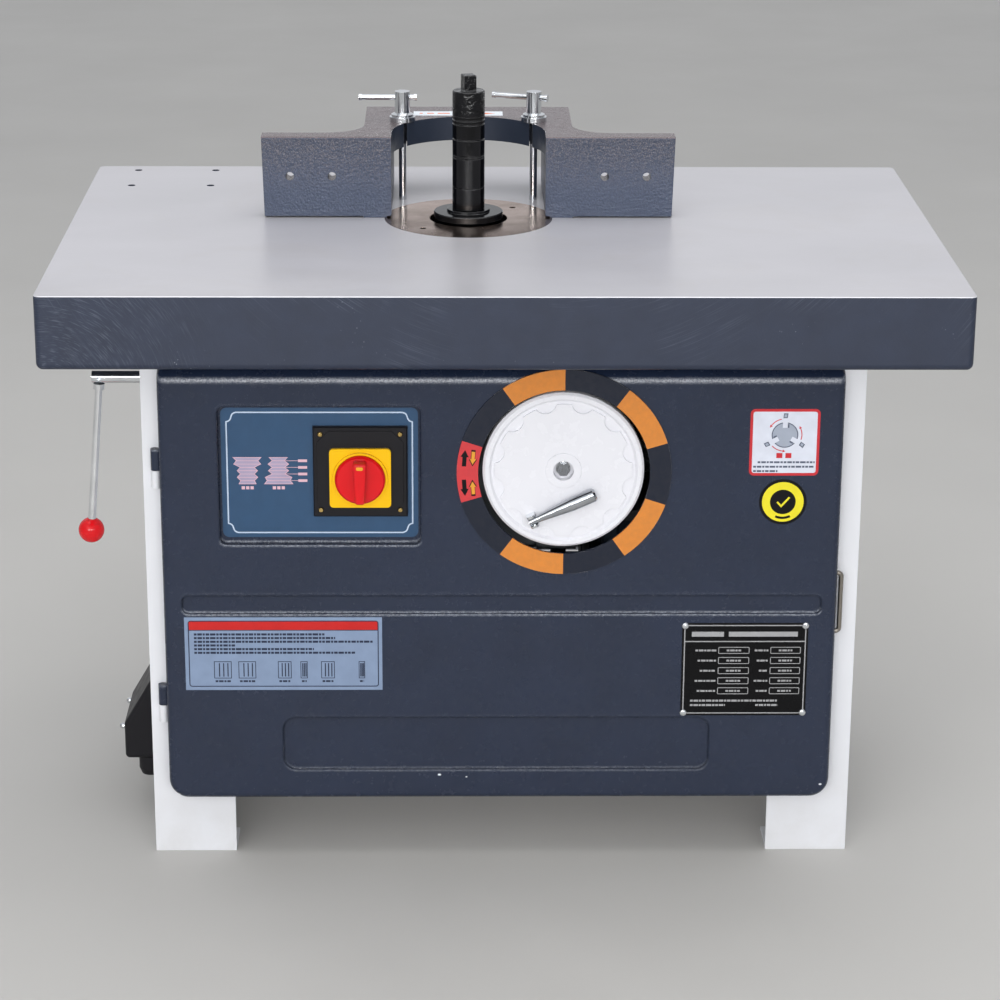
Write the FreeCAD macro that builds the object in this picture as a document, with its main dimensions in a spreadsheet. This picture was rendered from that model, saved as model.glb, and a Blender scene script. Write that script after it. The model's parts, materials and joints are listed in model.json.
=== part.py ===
"""Spindle moulder: a floor machine with a cast table, a fence, a rise-and-fall spindle and a cabinet.

The frame has +Z up and +Y to the back. Its origin is on the floor under the middle of the table.
All sizes are in millimetres and are kept in the sheet "Sizes".
"""
import FreeCAD, Part
import math
import os
import re
import Sketcher

SIZES = {
    # whole machine
    "table_length": 1100, "table_depth": 700, "table_height": 765,
    "cabinet_width": 884, "cabinet_depth": 460, "sheet_wall": 4, "overrun": 2,
    "fit_gap": 0.05, "air_gap": 0.3,
    # table casting
    "rim_height": 90, "table_plate": 24, "table_wall": 14, "table_corner": 8, "table_edge": 1,
    "rib_width": 16,
    "bore_ledge": 6, "bore_wall": 16, "bore_skirt": 18, "boss_radius": 16, "stud_boss": 14,
    "feeder_radius": 5.1, "feeder_pitch_x": 106, "feeder_pitch_y": 94,
    "feeder_inset_x": 109, "feeder_inset_y": 73,
    # insert ring
    "insert_radius": 108, "insert_height": 10, "insert_hole": 50, "lift_hole": 4, "lift_reach": 82,
    # cabinet
    "foot_width": 103, "foot_height": 84, "stile_width": 60, "rear_stile": 40, "top_flange": 70,
    "sole_width": 60, "rail_height": 50, "kick_height": 46, "cabinet_bolt_inset": 44,
    "cabinet_bolt": 5, "cabinet_bolt_length": 26,
    "cover_width": 430, "cover_height": 360, "cover_bottom": 150, "cover_lap": 22, "cover_wall": 3,
    "louvre_width": 150, "louvre_slot": 7, "louvre_pitch": 24, "cover_screw": 3,
    # door
    "door_left": 420, "door_right": 414, "door_bottom": 84, "door_top": 650, "door_gap": 2,
    "door_depth": 24, "door_skin": 2.5, "door_corner": 25,
    "door_top_round": 20, "door_side_round": 8,
    "recess_left": 348, "recess_right": 101, "recess_bottom": 425, "recess_top": 602,
    "recess_depth": 10, "recess_corner": 8,
    "channel_left": 397, "channel_right": 395, "channel_bottom": 334, "channel_top": 358,
    "channel_depth": 4, "panel_left": 275, "panel_right": 260, "panel_bottom": 124,
    "panel_top": 195, "panel_depth": 4, "panel_corner": 16,
    "wheel_opening": 105, "opening_x": 73.5, "opening_z": 519,
    "dial_radius": 131, "dial_height": 2.5,
    "pull_bar": 3, "pull_bottom": 307, "pull_top": 384, "pull_reach": 5.5, "pull_bend": 4.5,
    "pull_in": 12,
    # hinges
    "hinge_radius": 5.5, "hinge_pin": 3, "hinge_x": 426, "hinge_proud": 6, "hinge_leaf": 4,
    "upper_hinge_z": 516, "lower_hinge_z": 206, "hinge_knuckle": 27, "hinge_base": 23,
    # switch
    "switch_x": 175, "switch_z": 518, "switch_plate_width": 115, "switch_plate_height": 8,
    "bezel_width": 75, "bezel_height": 5, "bezel_corner": 5, "switch_screw": 3.4,
    "switch_screw_inset": 9, "switch_screw_proud": 1.6, "switch_block_width": 62,
    "switch_block_depth": 56, "switch_shaft": 4,
    "knob_radius": 30.5, "knob_base": 9, "knob_grip": 16, "knob_grip_width": 17, "knob_drop": 6,
    "plate_step": 1.5, "plate_inset": 5, "plate_cut": 14, "bezel_collar": 2.7, "bezel_collar_height": 4,
    # fence
    "fence_x": 42, "fence_y": 45, "fence_half": 265, "fence_height": 105, "wing_depth": 28,
    "arch_radius": 99, "arch_back": 34, "bridge_half": 135, "bridge_depth": 198, "bridge_height": 31,
    "pad_inset": 6, "pad_width": 30, "fence_lift": 2, "fence_blend": 50, "fence_inner_round": 5,
    "fence_draft": 3, "fence_edge": 2,
    "board_hole": 5.4, "board_hole_z": 54,
    "board_hole_near": 175, "board_hole_pitch": 54, "slot_half": 6, "slot_travel": 14,
    "stud_radius": 5, "stud_reach": 86, "stud_back": 106, "stud_above": 16,
    "washer_radius": 17, "washer_height": 6, "nut_flange": 14.5, "nut_flange_height": 5,
    "nut_radius": 10, "nut_height": 33, "bar_radius": 3.7, "bar_length": 76, "bar_shift": 19,
    "bar_drop": 8, "bar_tip": 4.6, "bar_tip_length": 4, "right_bar_turn": 20,
    # spindle
    "arbor_radius": 17.5, "flange_radius": 44.5, "flange_height": 11, "flange_lift": 2,
    "lip_radius": 28, "lip_height": 4, "collar_radius": 20.7, "collar_end": 135, "collar_seam": 1,
    "nut_top": 166, "square_width": 16, "square_height": 20, "square_turn": 16,
    "neck_radius": 30, "journal_radius": 20, "quill_radius": 60, "quill_top": 712,
    "quill_height": 172, "bearing_radius": 42, "bearing_height": 22, "bearing_inset": 14,
    "cap_height": 8, "cap_radius": 54, "shaft_tail": 10,
    "pulley_step": 24, "pulley_gap": 8, "groove_depth": 9, "groove_flank": 3,
    "spindle_step_small": 31, "spindle_step_rise": 10, "motor_step_big": 82,
    # slide way
    "guide_inset": 35, "guide_depth": 70, "guide_half": 88, "guide_bottom": 470,
    "guide_flange": 20, "guide_flange_lap": 24, "dovetail_depth": 38, "dovetail_half": 45,
    "dovetail_flare": 20, "gib_width": 6, "carriage_plate": 30, "motor_plate_z": 400,
    "carriage_top": 700, "web_width": 44, "web_top": 684,
    # rise and fall
    "wheel_x": 72.5, "wheel_z": 523, "screw_inset": 7, "shaft_radius": 9, "screw_radius": 10,
    "screw_bottom": 300, "gear_teeth": 16, "gear_radius": 21, "gear_face": 9.2,
    "gear_hub": 10, "gear_hub_radius": 15, "bracket_wall": 14, "bracket_half": 26,
    "bracket_depth": 72, "bracket_rise": 30,
    "lug_top": 418, "lug_height": 40, "lug_half": 22, "nut_wall": 6,
    # handwheel
    "handwheel_radius": 98.5, "handwheel_proud": 5, "handwheel_height": 24, "rim_width": 8,
    "dish_depth": 3, "plateau_radius": 84, "scallop_radius": 14, "scallop_reach": 89,
    "scallop_count": 12, "scallop_turn": 15, "hub_radius": 22, "hub_rise": 1.2, "hub_length": 40,
    "socket_radius": 12.5, "socket_depth": 9, "hub_screw": 5, "hub_screw_length": 14,
    "crank_x": 37, "crank_z": 62, "crank_turn": 24.5,
    "crank_length": 84, "crank_small": 4.6, "crank_big": 8.6, "crank_pin": 2.5, "crank_ear": 3,
    "crank_eye": 5.5,
    # lock lever
    "lock_inset": 22, "lock_z": 608, "lock_shaft": 7.6, "lock_end": 510, "lever_x": 501,
    "lever_tilt": 5, "lever_rod": 5, "lever_collar": 7, "lever_collar_height": 7,
    "lever_length": 202, "ball_radius": 16.3, "lock_hole": 2.5, "lock_bush": 13,
    "lock_bush_height": 6,
    # connection box
    "box_front": 115, "box_back": 0, "box_bottom": 77, "box_break": 126, "box_top": 199,
    "box_reach": 49, "box_round": 6, "box_screw": 4, "box_screw_z": 118, "box_screw_inset": 15,
    "box_screw_proud": 7, "gland_radius": 15.5, "gland_drop": 26, "gland_inset": 19, "gland_bore": 6,
    # motor
    "motor_x": 205, "motor_clear": 36, "motor_radius": 98, "motor_flange": 120,
    "motor_flange_height": 14, "motor_body_height": 176, "motor_fan_height": 42, "motor_fins": 24,
    "fin_depth": 7, "fin_width": 5, "motor_plate_height": 14, "motor_shaft": 14,
    "motor_bolt": 5, "motor_bolt_reach": 107, "belt_height": 13.6,
    "belt_sunk": 2, "belt_proud": 4, "vent_hole": 4, "vent_reach": 62,
}

SHARES = {
    # screws and nuts: the top of a domed head, its width, and the straight part of a flange or head
    "dome_top_share": 0.7, "dome_wide_share": 2, "head_side_share": 0.6,
    # switch knob
    "knob_side_share": 0.7, "knob_rim_share": 0.92, "grip_reach_share": 0.86, "grip_low_share": 0.7,
    "grip_round_share": 0.2,
    # crank and lever
    "ear_round_share": 0.9, "ear_floor_share": 0.33, "neck_share": 1.6, "swell_share": 0.62,
    "taper_share": 0.9,
    # cable gland, bearing and motor plate
    "gland_flare_share": 0.7, "gland_floor_share": 0.3, "bearing_edge_share": 0.08,
    "plate_round_share": 0.33, "plate_hole_share": 3,
}

PLACES = {
    "rim_bottom": "table_height - rim_height",
    "plate_bottom": "table_height - table_plate",
    "half_width": "cabinet_width / 2",
    "half_depth": "cabinet_depth / 2",
    "inner_x": "half_width - sheet_wall",
    "inner_y": "half_depth - sheet_wall",
    "door_back": "half_depth + door_gap",
    "door_face": "door_back + door_depth",
    "recess_floor": "door_face - recess_depth",
    "switch_face": "recess_floor + switch_plate_height",
    "bezel_face": "switch_face + bezel_height",
    "knob_z": "switch_z - knob_drop",
    "hinge_y": "half_depth + hinge_proud",
    "fence_top": "table_height + fence_height",
    "washer_top": "fence_top + washer_height",
    "stud_y": "fence_y + stud_back",
    "bar_z": "washer_top + nut_height - bar_drop",
    "flange_bottom": "table_height + flange_lift",
    "flange_top": "flange_bottom + flange_height",
    "quill_bottom": "quill_top - quill_height",
    "pulley_top": "quill_bottom - cap_height - pulley_gap",
    "pulley_height": "pulley_step * 4",
    "guide_front": "half_depth - guide_inset",
    "guide_face": "guide_front - guide_depth",
    "screw_y": "guide_face - screw_inset",
    "lock_y": "guide_face + lock_inset",
    "handwheel_front": "door_face + handwheel_proud",
    "motor_y": "inner_y - motor_flange - motor_clear",
    "pulley_bottom": "pulley_top - pulley_height",
    "dovetail_bottom": "guide_face + dovetail_depth",
    "dovetail_wide": "dovetail_half + dovetail_flare",
    "slide_face": "guide_face - air_gap",
    "carriage_back": "slide_face - carriage_plate",
    "gear_back": "gear_radius + gear_hub",
    "motor_top": "motor_plate_z",
    "carriage_low": "lug_top - lug_height",
    "arm_top": "wheel_z - gear_back - air_gap",
    "motor_bottom": "motor_top - motor_flange_height - motor_body_height - motor_fan_height",
    "drive_span": "sqrt((motor_x + fence_x)^2 + (motor_y - fence_y)^2)",
    "drive_turn": "atan2(motor_y - fence_y; motor_x + fence_x)",
}

doc = FreeCAD.newDocument("spindle_moulder")
sheet = doc.addObject("Spreadsheet::Sheet", "Sizes")
for row, (alias, size) in enumerate(SIZES.items(), 1):
    sheet.set("A%d" % row, alias)
    sheet.set("B%d" % row, str(size))
    sheet.setAlias("B%d" % row, alias)
doc.recompute()

WORD = re.compile(r"[a-z][a-z0-9_]*")
X_AXIS = FreeCAD.Vector(1, 0, 0)
Y_AXIS = FreeCAD.Vector(0, 1, 0)
Z_AXIS = FreeCAD.Vector(0, 0, 1)
pieces = []
cuts = []


def formula(text):
    """An expression over the sheet, with each derived place written out."""
    def swap(match):
        word = match.group(0)
        if word in PLACES:
            return "(" + formula(PLACES[word]) + ")"
        if word in SHARES:
            return str(SHARES[word])
        return "Sizes." + word if word in SIZES else word
    return WORD.sub(swap, str(text))


def value(text):
    """The number that an expression over the sheet gives."""
    return float(sheet.evalExpression(formula(text)))


def bind(item, name, text):
    """Tie a property to an expression over the sheet."""
    item.setExpression(name, formula(text))


def place(item, x="0", y="0", z="0", turn=None):
    """Put a piece at a place that follows the sheet."""
    if turn:
        item.Placement.Rotation = turn
    for axis, text in zip("xyz", (x, y, z)):
        bind(item, "Placement.Base." + axis, text)
    return item


def keep(item, label):
    """Name a finished piece, so that it is written out."""
    item.Label = label
    pieces.append(item)
    return item


def new_body(label):
    """A body that is one finished piece."""
    return keep(doc.addObject("PartDesign::Body", label), label)


def origin_item(body, role):
    """One of a body's own origin planes or axes."""
    return next(item for item in body.Origin.OriginFeatures if item.Role == role)


def new_sketch(body, role, level="0"):
    """A sketch on an origin plane, moved along the plane's row axis to a level."""
    sketch = body.newObject("Sketcher::SketchObject", body.Name + "_sketch")
    sketch.AttachmentSupport = (origin_item(body, role), "")
    sketch.MapMode = "FlatFace"
    sign = "-1" if role == "XZ_Plane" else "1"
    bind(sketch, "AttachmentOffset.Base.z", "%s * (%s)" % (sign, level))
    return sketch


def pin(sketch, item, point, x, y):
    """Hold a point of a sketch at a place given from the sketch's origin."""
    for kind, text in (("DistanceX", x), ("DistanceY", y)):
        number = sketch.addConstraint(Sketcher.Constraint(kind, -1, 1, item, point, value(text)))
        bind(sketch, "Constraints[%d]" % number, text)


def outline(sketch, corners):
    """Draw a closed outline of straight sides through its corners."""
    points = [FreeCAD.Vector(value(x), value(y), 0) for x, y in corners]
    first = sketch.GeometryCount
    count = len(points)
    sides = [Part.LineSegment(points[n], points[(n + 1) % count]) for n in range(count)]
    sketch.addGeometry(sides)
    joins = [Sketcher.Constraint("Coincident", first + n, 2, first + (n + 1) % count, 1)
             for n in range(count)]
    sketch.addConstraint(joins)
    for number, (x, y) in enumerate(corners):
        pin(sketch, first + number, 1, x, y)
    return sketch


def rectangle(sketch, left, low, right, high):
    """Draw a rectangle between two corners."""
    return outline(sketch, [(left, low), (right, low), (right, high), (left, high)])


def circle(sketch, x, y, radius):
    """Draw a circle."""
    centre = FreeCAD.Vector(value(x), value(y), 0)
    item = sketch.addGeometry(Part.Circle(centre, Z_AXIS, value(radius)))
    pin(sketch, item, 3, x, y)
    number = sketch.addConstraint(Sketcher.Constraint("Radius", item, value(radius)))
    bind(sketch, "Constraints[%d]" % number, radius)
    return sketch


def pad(body, sketch, length, back=False, middle=False):
    """Raise a sketch to a solid."""
    feature = body.newObject("PartDesign::Pad", body.Name + "_pad")
    feature.Profile = sketch
    bind(feature, "Length", length)
    feature.Reversed = back
    feature.SideType = "Symmetric" if middle else "One side"
    return feature


def pocket(body, sketch, depth, back=False):
    """Cut a sketch out of a solid, against the sketch's normal or, if back, along it."""
    before = body.Tip
    feature = body.newObject("PartDesign::Pocket", body.Name + "_pocket")
    feature.Profile = sketch
    bind(feature, "Length", depth)
    feature.Reversed = back
    cuts.append((before, feature))
    return feature


def turned(body, corners):
    """Turn an outline of (radius, height) corners about the body's Z axis."""
    sketch = outline(new_sketch(body, "XZ_Plane"), corners)
    feature = body.newObject("PartDesign::Revolution", body.Name + "_turn")
    feature.Profile = sketch
    feature.ReferenceAxis = (sketch, ["V_Axis"])
    feature.Angle = 360
    return body


def soften(body, kind, size, wanted):
    """Fillet or chamfer the edges of the body that a test picks."""
    doc.recompute()
    base = body.Tip
    names = ["Edge%d" % number for number, edge in enumerate(base.Shape.Edges, 1) if wanted(edge)]
    if not names:
        raise RuntimeError(body.Label + " has no edge to soften")
    feature = body.newObject("PartDesign::" + kind, body.Name + "_edges")
    feature.Base = (base, names)
    bind(feature, "Radius" if kind == "Fillet" else "Size", size)
    return feature


def along(edge, axis):
    """True for a straight edge that runs along a row axis, 0 for X, 1 for Y and 2 for Z."""
    box = edge.BoundBox
    spans = [box.XLength, box.YLength, box.ZLength]
    small = [span < value("air_gap") / 10 for span in spans]
    return not small[axis] and sum(small) == 2


def near(number, text):
    """True where a measured number is at a place."""
    return abs(number - value(text)) < value("air_gap")


def ring_of(body, features, count):
    """Repeat features evenly about the body's Z axis."""
    pattern = body.newObject("PartDesign::PolarPattern", body.Name + "_ring")
    pattern.Originals = features
    pattern.Axis = (origin_item(body, "Z_Axis"), [""])
    pattern.Angle = 360
    bind(pattern, "Occurrences", count)
    body.Tip = pattern
    return pattern


def row_of(body, features, role, length, count):
    """Repeat features evenly along one of the body's axes."""
    pattern = body.newObject("PartDesign::LinearPattern", body.Name + "_row")
    pattern.Originals = features
    pattern.Direction = (origin_item(body, role), [""])
    bind(pattern, "Length", length)
    bind(pattern, "Occurrences", count)
    body.Tip = pattern
    return pattern


def gather(label, bodies):
    """Several bodies as the separate solids of one piece."""
    doc.recompute()
    item = doc.addObject("Part::Feature", label)
    item.Shape = Part.makeCompound([body.Shape for body in bodies])
    for body in bodies:
        pieces.remove(body)
    return keep(item, label)


def group(label, pattern_body, spots, turn=None):
    """Separate copies of one body as one piece, each at its own place."""
    doc.recompute()
    copies = []
    for x, y, z in spots:
        copy = pattern_body.Shape.copy()
        where = FreeCAD.Vector(value(x), value(y), value(z))
        copy.Placement = FreeCAD.Placement(where, turn or FreeCAD.Rotation())
        copies.append(copy)
    pieces.remove(pattern_body)
    item = doc.addObject("Part::Feature", label)
    item.Shape = Part.makeCompound(copies)
    return keep(item, label)


def bolt(label, radius, length, head_share=1.7, high_share=1.4):
    """A hexagon bolt whose head is up and whose shank points down from the origin."""
    body = new_body(label)
    turned(body, [("0", "-(%s)" % length), (radius, "-(%s)" % length), (radius, "0"), ("0", "0")])
    sketch = new_sketch(body, "XY_Plane")
    corner = "(%s) * %s" % (radius, head_share)
    spots = [("%s * cos(%d)" % (corner, turn), "%s * sin(%d)" % (corner, turn))
             for turn in range(0, 360, 60)]
    pad(body, outline(sketch, spots), "(%s) * %s" % (radius, high_share))
    return body


def make_table():
    """The cast table: a thick plate with a deep rim, and ribs that stand on the cabinet's walls."""
    body = new_body("table")
    half_x, half_y = "table_length / 2", "table_depth / 2"
    sketch = new_sketch(body, "XY_Plane", "rim_bottom")
    pad(body, rectangle(sketch, "-" + half_x, "-" + half_y, half_x, half_y), "rim_height")
    soften(body, "Fillet", "table_corner", lambda edge: along(edge, 2) or (
        near(edge.CenterOfMass.z, "rim_bottom")))
    soften(body, "Chamfer", "table_edge", lambda edge: near(edge.CenterOfMass.z, "table_height"))
    cells = new_sketch(body, "XY_Plane", "rim_bottom")
    bands_x = [("table_wall - " + half_x, "-half_width"),
               ("rib_width - half_width", "half_width - rib_width"),
               ("half_width", half_x + " - table_wall")]
    bands_y = [("table_wall - " + half_y, "-half_depth"),
               ("rib_width - half_depth", "half_depth - rib_width"),
               ("half_depth", half_y + " - table_wall")]
    for left, right in bands_x:
        for low, high in bands_y:
            rectangle(cells, left, low, right, high)
    pocket(body, cells, "rim_height - table_plate", back=True)
    bosses = new_sketch(body, "XY_Plane", "plate_bottom + overrun")
    for side_x, side_y in ((-1, -1), (1, -1), (-1, 1), (1, 1)):
        circle(bosses, "%d * (half_width - cabinet_bolt_inset)" % side_x,
               "%d * (half_depth - cabinet_bolt_inset)" % side_y, "boss_radius")
    pad(body, bosses, "rim_height - table_plate + overrun", back=True)
    skirt = new_sketch(body, "XY_Plane", "plate_bottom + overrun")
    circle(skirt, "-fence_x", "fence_y", "insert_radius - bore_ledge + bore_wall")
    pad(body, skirt, "bore_skirt + overrun", back=True)
    stud_bosses = new_sketch(body, "XY_Plane", "plate_bottom + overrun")
    for side in (-1, 1):
        circle(stud_bosses, "%d * stud_reach - fence_x" % side, "stud_y", "stud_boss")
    pad(body, stud_bosses, "bore_skirt + overrun", back=True)
    seat = circle(new_sketch(body, "XY_Plane", "table_height"), "-fence_x", "fence_y",
                  "insert_radius + fit_gap")
    pocket(body, seat, "insert_height")
    bore = circle(new_sketch(body, "XY_Plane", "table_height"), "-fence_x", "fence_y",
                  "insert_radius - bore_ledge")
    pocket(body, bore, "rim_height")
    holes = new_sketch(body, "XY_Plane", "table_height")
    for side in (-1, 1):
        circle(holes, "%d * stud_reach - fence_x" % side, "stud_y", "stud_radius + fit_gap")
        for end in (-1, 1):
            circle(holes, "feeder_inset_x - %s + %d * feeder_pitch_x / 2" % (half_x, side),
                   "%s - feeder_inset_y + %d * feeder_pitch_y / 2" % (half_y, end), "feeder_radius")
    pocket(body, holes, "rim_height")
    bolt_holes = new_sketch(body, "XY_Plane", "rim_bottom")
    for side_x, side_y in ((-1, -1), (1, -1), (-1, 1), (1, 1)):
        circle(bolt_holes, "%d * (half_width - cabinet_bolt_inset)" % side_x,
               "%d * (half_depth - cabinet_bolt_inset)" % side_y, "cabinet_bolt + fit_gap")
    pocket(body, bolt_holes, "cabinet_bolt_length", back=True)


def make_insert_ring():
    """The loose ring that closes the table's bore round the spindle, with two lifting holes."""
    body = new_body("table_insert_ring")
    sketch = circle(new_sketch(body, "XY_Plane"), "0", "0", "insert_radius")
    circle(sketch, "0", "0", "insert_hole")
    for side in (-1, 1):
        circle(sketch, "%d * lift_reach" % side, "0", "lift_hole")
    pad(body, sketch, "insert_height")
    place(body, "-fence_x", "fence_y", "table_height - insert_height", FreeCAD.Rotation(Z_AXIS, 45))


def make_cabinet_side(label, side):
    """One folded side of the cabinet: its wall, front and rear stiles, feet, soles and top flange."""
    body = new_body(label)
    sign = "%d * " % side

    def x(text):
        return sign + "(" + text + ")"

    plan = new_sketch(body, "XY_Plane")
    outline(plan, [
        (x("half_width"), "-half_depth"), (x("half_width"), "half_depth"),
        (x("half_width - foot_width"), "half_depth"), (x("half_width - foot_width"), "inner_y"),
        (x("inner_x"), "inner_y"), (x("inner_x"), "-inner_y"),
        (x("half_width - foot_width"), "-inner_y"), (x("half_width - foot_width"), "-half_depth")])
    pad(body, plan, "rim_bottom")
    flange = new_sketch(body, "XY_Plane", "rim_bottom")
    rectangle(flange, x("half_width"), "-half_depth", x("half_width - top_flange"), "half_depth")
    for end in (-1, 1):
        circle(flange, x("half_width - cabinet_bolt_inset"),
               "%d * (half_depth - cabinet_bolt_inset)" % end, "cabinet_bolt + fit_gap")
    pad(body, flange, "sheet_wall", back=True)
    soles = new_sketch(body, "XY_Plane")
    for end in (-1, 1):
        rectangle(soles, x("half_width"), "%d * half_depth" % end,
                  x("half_width - foot_width"), "%d * (half_depth - sole_width)" % end)
    pad(body, soles, "sheet_wall")
    stiles = new_sketch(body, "XZ_Plane", "-half_depth")
    rectangle(stiles, x("half_width - stile_width"), "foot_height",
              x("half_width - foot_width - overrun"), "rim_bottom - sheet_wall")
    pocket(body, stiles, "sheet_wall")
    rear = new_sketch(body, "XZ_Plane", "half_depth")
    rectangle(rear, x("half_width - rear_stile"), "foot_height",
              x("half_width - foot_width - overrun"), "rim_bottom - sheet_wall")
    pocket(body, rear, "sheet_wall", back=True)
    toe = new_sketch(body, "YZ_Plane", x("half_width - sheet_wall / 2"))
    rectangle(toe, "foot_width - half_depth", "-overrun", "half_depth - foot_width", "foot_height")
    gap = pocket(body, toe, "sheet_wall * 2")
    gap.SideType = "Symmetric"
    if side < 0:
        bush = new_sketch(body, "YZ_Plane", x("inner_x"))
        circle(bush, "-lock_y", "lock_z", "lock_bush")
        pad(body, bush, "sheet_wall + lock_bush_height", back=True)
        hole = new_sketch(body, "YZ_Plane", x("inner_x"))
        circle(hole, "-lock_y", "lock_z", "lock_shaft + fit_gap")
        pocket(body, hole, "(sheet_wall + lock_bush_height) * 3").SideType = "Symmetric"


def make_cabinet_panels():
    """The back, the floor and the two front rails of the cabinet."""
    back = new_body("cabinet_back")
    sketch = new_sketch(back, "XZ_Plane", "inner_y")
    rectangle(sketch, "-inner_x", "foot_height", "inner_x", "rim_bottom - sheet_wall")
    rectangle(sketch, "cover_lap - cover_width / 2", "cover_bottom + cover_lap",
              "cover_width / 2 - cover_lap", "cover_bottom + cover_height - cover_lap")
    pad(back, sketch, "sheet_wall")
    cover = new_body("rear_cover")
    plate = new_sketch(cover, "XZ_Plane", "inner_y + cover_wall")
    rectangle(plate, "-cover_width / 2", "cover_bottom", "cover_width / 2", "cover_bottom + cover_height")
    pad(cover, plate, "cover_wall")
    slots = new_sketch(cover, "XZ_Plane", "inner_y + cover_wall")
    for side in (-1, 1):
        rectangle(slots, "%d * cover_lap" % side, "cover_bottom + cover_lap * 2",
                  "%d * (cover_lap + louvre_width)" % side, "cover_bottom + cover_lap * 2 + louvre_slot")
    louvre = pocket(cover, slots, "cover_wall", back=True)
    row_of(cover, [louvre], "Z_Axis", "louvre_pitch * 10", "11")
    floor = new_body("cabinet_floor")
    tray = new_sketch(floor, "XY_Plane", "foot_height")
    rectangle(tray, "-inner_x", "-inner_y", "inner_x", "inner_y - sheet_wall")
    pad(floor, tray, "sheet_wall")
    rails = []
    for low, high in (("rim_bottom - sheet_wall - rail_height", "rim_bottom - sheet_wall"),
                      ("foot_height", "foot_height + kick_height")):
        rail = new_body("front_rail")
        sketch = new_sketch(rail, "XZ_Plane", "-inner_y")
        rectangle(sketch, "stile_width - half_width", low, "half_width - stile_width", high)
        pad(rail, sketch, "sheet_wall")
        rails.append(rail)
    gather("cabinet_front_rails", rails)


def make_cabinet_fasteners():
    """The bolts that hold the table down, and the screws of the rear cover."""
    under = FreeCAD.Rotation(X_AXIS, 180)
    shank = "cabinet_bolt_length"
    spots = [("%d * (half_width - cabinet_bolt_inset)" % side_x,
              "%d * (half_depth - cabinet_bolt_inset)" % side_y, "rim_bottom - sheet_wall")
             for side_x in (-1, 1) for side_y in (-1, 1)]
    group("table_bolts", bolt("table_bolt", "cabinet_bolt", shank), spots, under)
    head = new_body("cover_screw_head")
    turned(head, [("0", "0"), ("cover_screw * dome_wide_share", "0"),
                  ("cover_screw * dome_wide_share * dome_top_share", "cover_screw"),
                  ("0", "cover_screw")])
    spots = [("%d * (cover_width / 2 - cover_lap / 2)" % side, "inner_y + cover_wall",
              "cover_bottom + cover_lap / 2 + %d * (cover_height - cover_lap)" % up)
             for side in (-1, 1) for up in (0, 1)]
    group("rear_cover_screws", head, spots, FreeCAD.Rotation(X_AXIS, -90))


def make_door():
    """The pressed door: rolled edges, sunk control panel, channel, lower panel and wheel opening."""
    body = new_body("door")
    face = new_sketch(body, "XZ_Plane", "-door_back")
    pad(body, rectangle(face, "-door_left", "door_bottom", "door_right", "door_top"), "door_depth")
    soften(body, "Fillet", "door_corner", lambda edge: along(edge, 1) and (
        near(edge.CenterOfMass.z, "door_bottom")))
    soften(body, "Fillet", "door_top_round", lambda edge: along(edge, 0) and (
        near(edge.CenterOfMass.z, "door_top") and near(edge.CenterOfMass.y, "-door_face")))
    soften(body, "Fillet", "door_side_round", lambda edge: along(edge, 2) and (
        near(edge.CenterOfMass.y, "-door_face")))
    for left, low, right, high, depth, corner in (
            ("-recess_left", "recess_bottom", "-recess_right", "recess_top", "recess_depth", "recess_corner"),
            ("-channel_left", "channel_bottom", "channel_right", "channel_top", "channel_depth",
             "recess_corner"),
            ("-panel_left", "panel_bottom", "panel_right", "panel_top", "panel_depth", "panel_corner")):
        sunk = new_sketch(body, "XZ_Plane", "-door_face")
        pocket(body, rectangle(sunk, left, low, right, high), depth)
        soften(body, "Fillet", corner, lambda edge: along(edge, 1) and (
            near(edge.CenterOfMass.x, left) or near(edge.CenterOfMass.x, right)) and (
            near(edge.CenterOfMass.z, low) or near(edge.CenterOfMass.z, high)))
    doc.recompute()
    solid = body.Tip
    backs = ["Face%d" % number for number, side in enumerate(solid.Shape.Faces, 1)
             if near(side.BoundBox.YMin, "-door_back")]
    shell = body.newObject("PartDesign::Thickness", "door_shell")
    shell.Base = (solid, backs)
    bind(shell, "Value", "door_skin")
    shell.Reversed = True
    hole = circle(new_sketch(body, "XZ_Plane", "-door_face"), "opening_x", "opening_z", "wheel_opening")
    pocket(body, hole, "door_depth")
    plate = new_sketch(body, "XZ_Plane", "-door_face")
    circle(plate, "-switch_x", "knob_z", "switch_shaft * 2")
    pocket(body, plate, "door_depth")


def make_dial_ring():
    """The flat ring that frames the door's wheel opening."""
    body = new_body("dial_ring")
    sketch = circle(new_sketch(body, "XZ_Plane"), "0", "0", "dial_radius")
    circle(sketch, "0", "0", "wheel_opening")
    pad(body, sketch, "dial_height")
    place(body, "opening_x", "-door_face", "opening_z")


def bent_bar(points, bend, radius):
    """A round bar along straight runs, with an arc of one bend radius at each corner."""
    edges = []
    start = points[0]
    for before, corner, after in zip(points, points[1:], points[2:]):
        inward = (before - corner).normalize()
        onward = (after - corner).normalize()
        reach = bend / math.tan(inward.getAngle(onward) / 2)
        first = corner + inward * reach
        last = corner + onward * reach
        middle = (inward + onward).normalize()
        top = corner + middle * (math.hypot(reach, bend) - bend)
        edges += [Part.LineSegment(start, first).toShape(), Part.Arc(first, top, last).toShape()]
        start = last
    edges.append(Part.LineSegment(start, points[-1]).toShape())
    section = Part.Wire(Part.makeCircle(radius, points[0], points[1] - points[0]))
    return Part.Wire(edges).makePipeShell([section], True, False)


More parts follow.
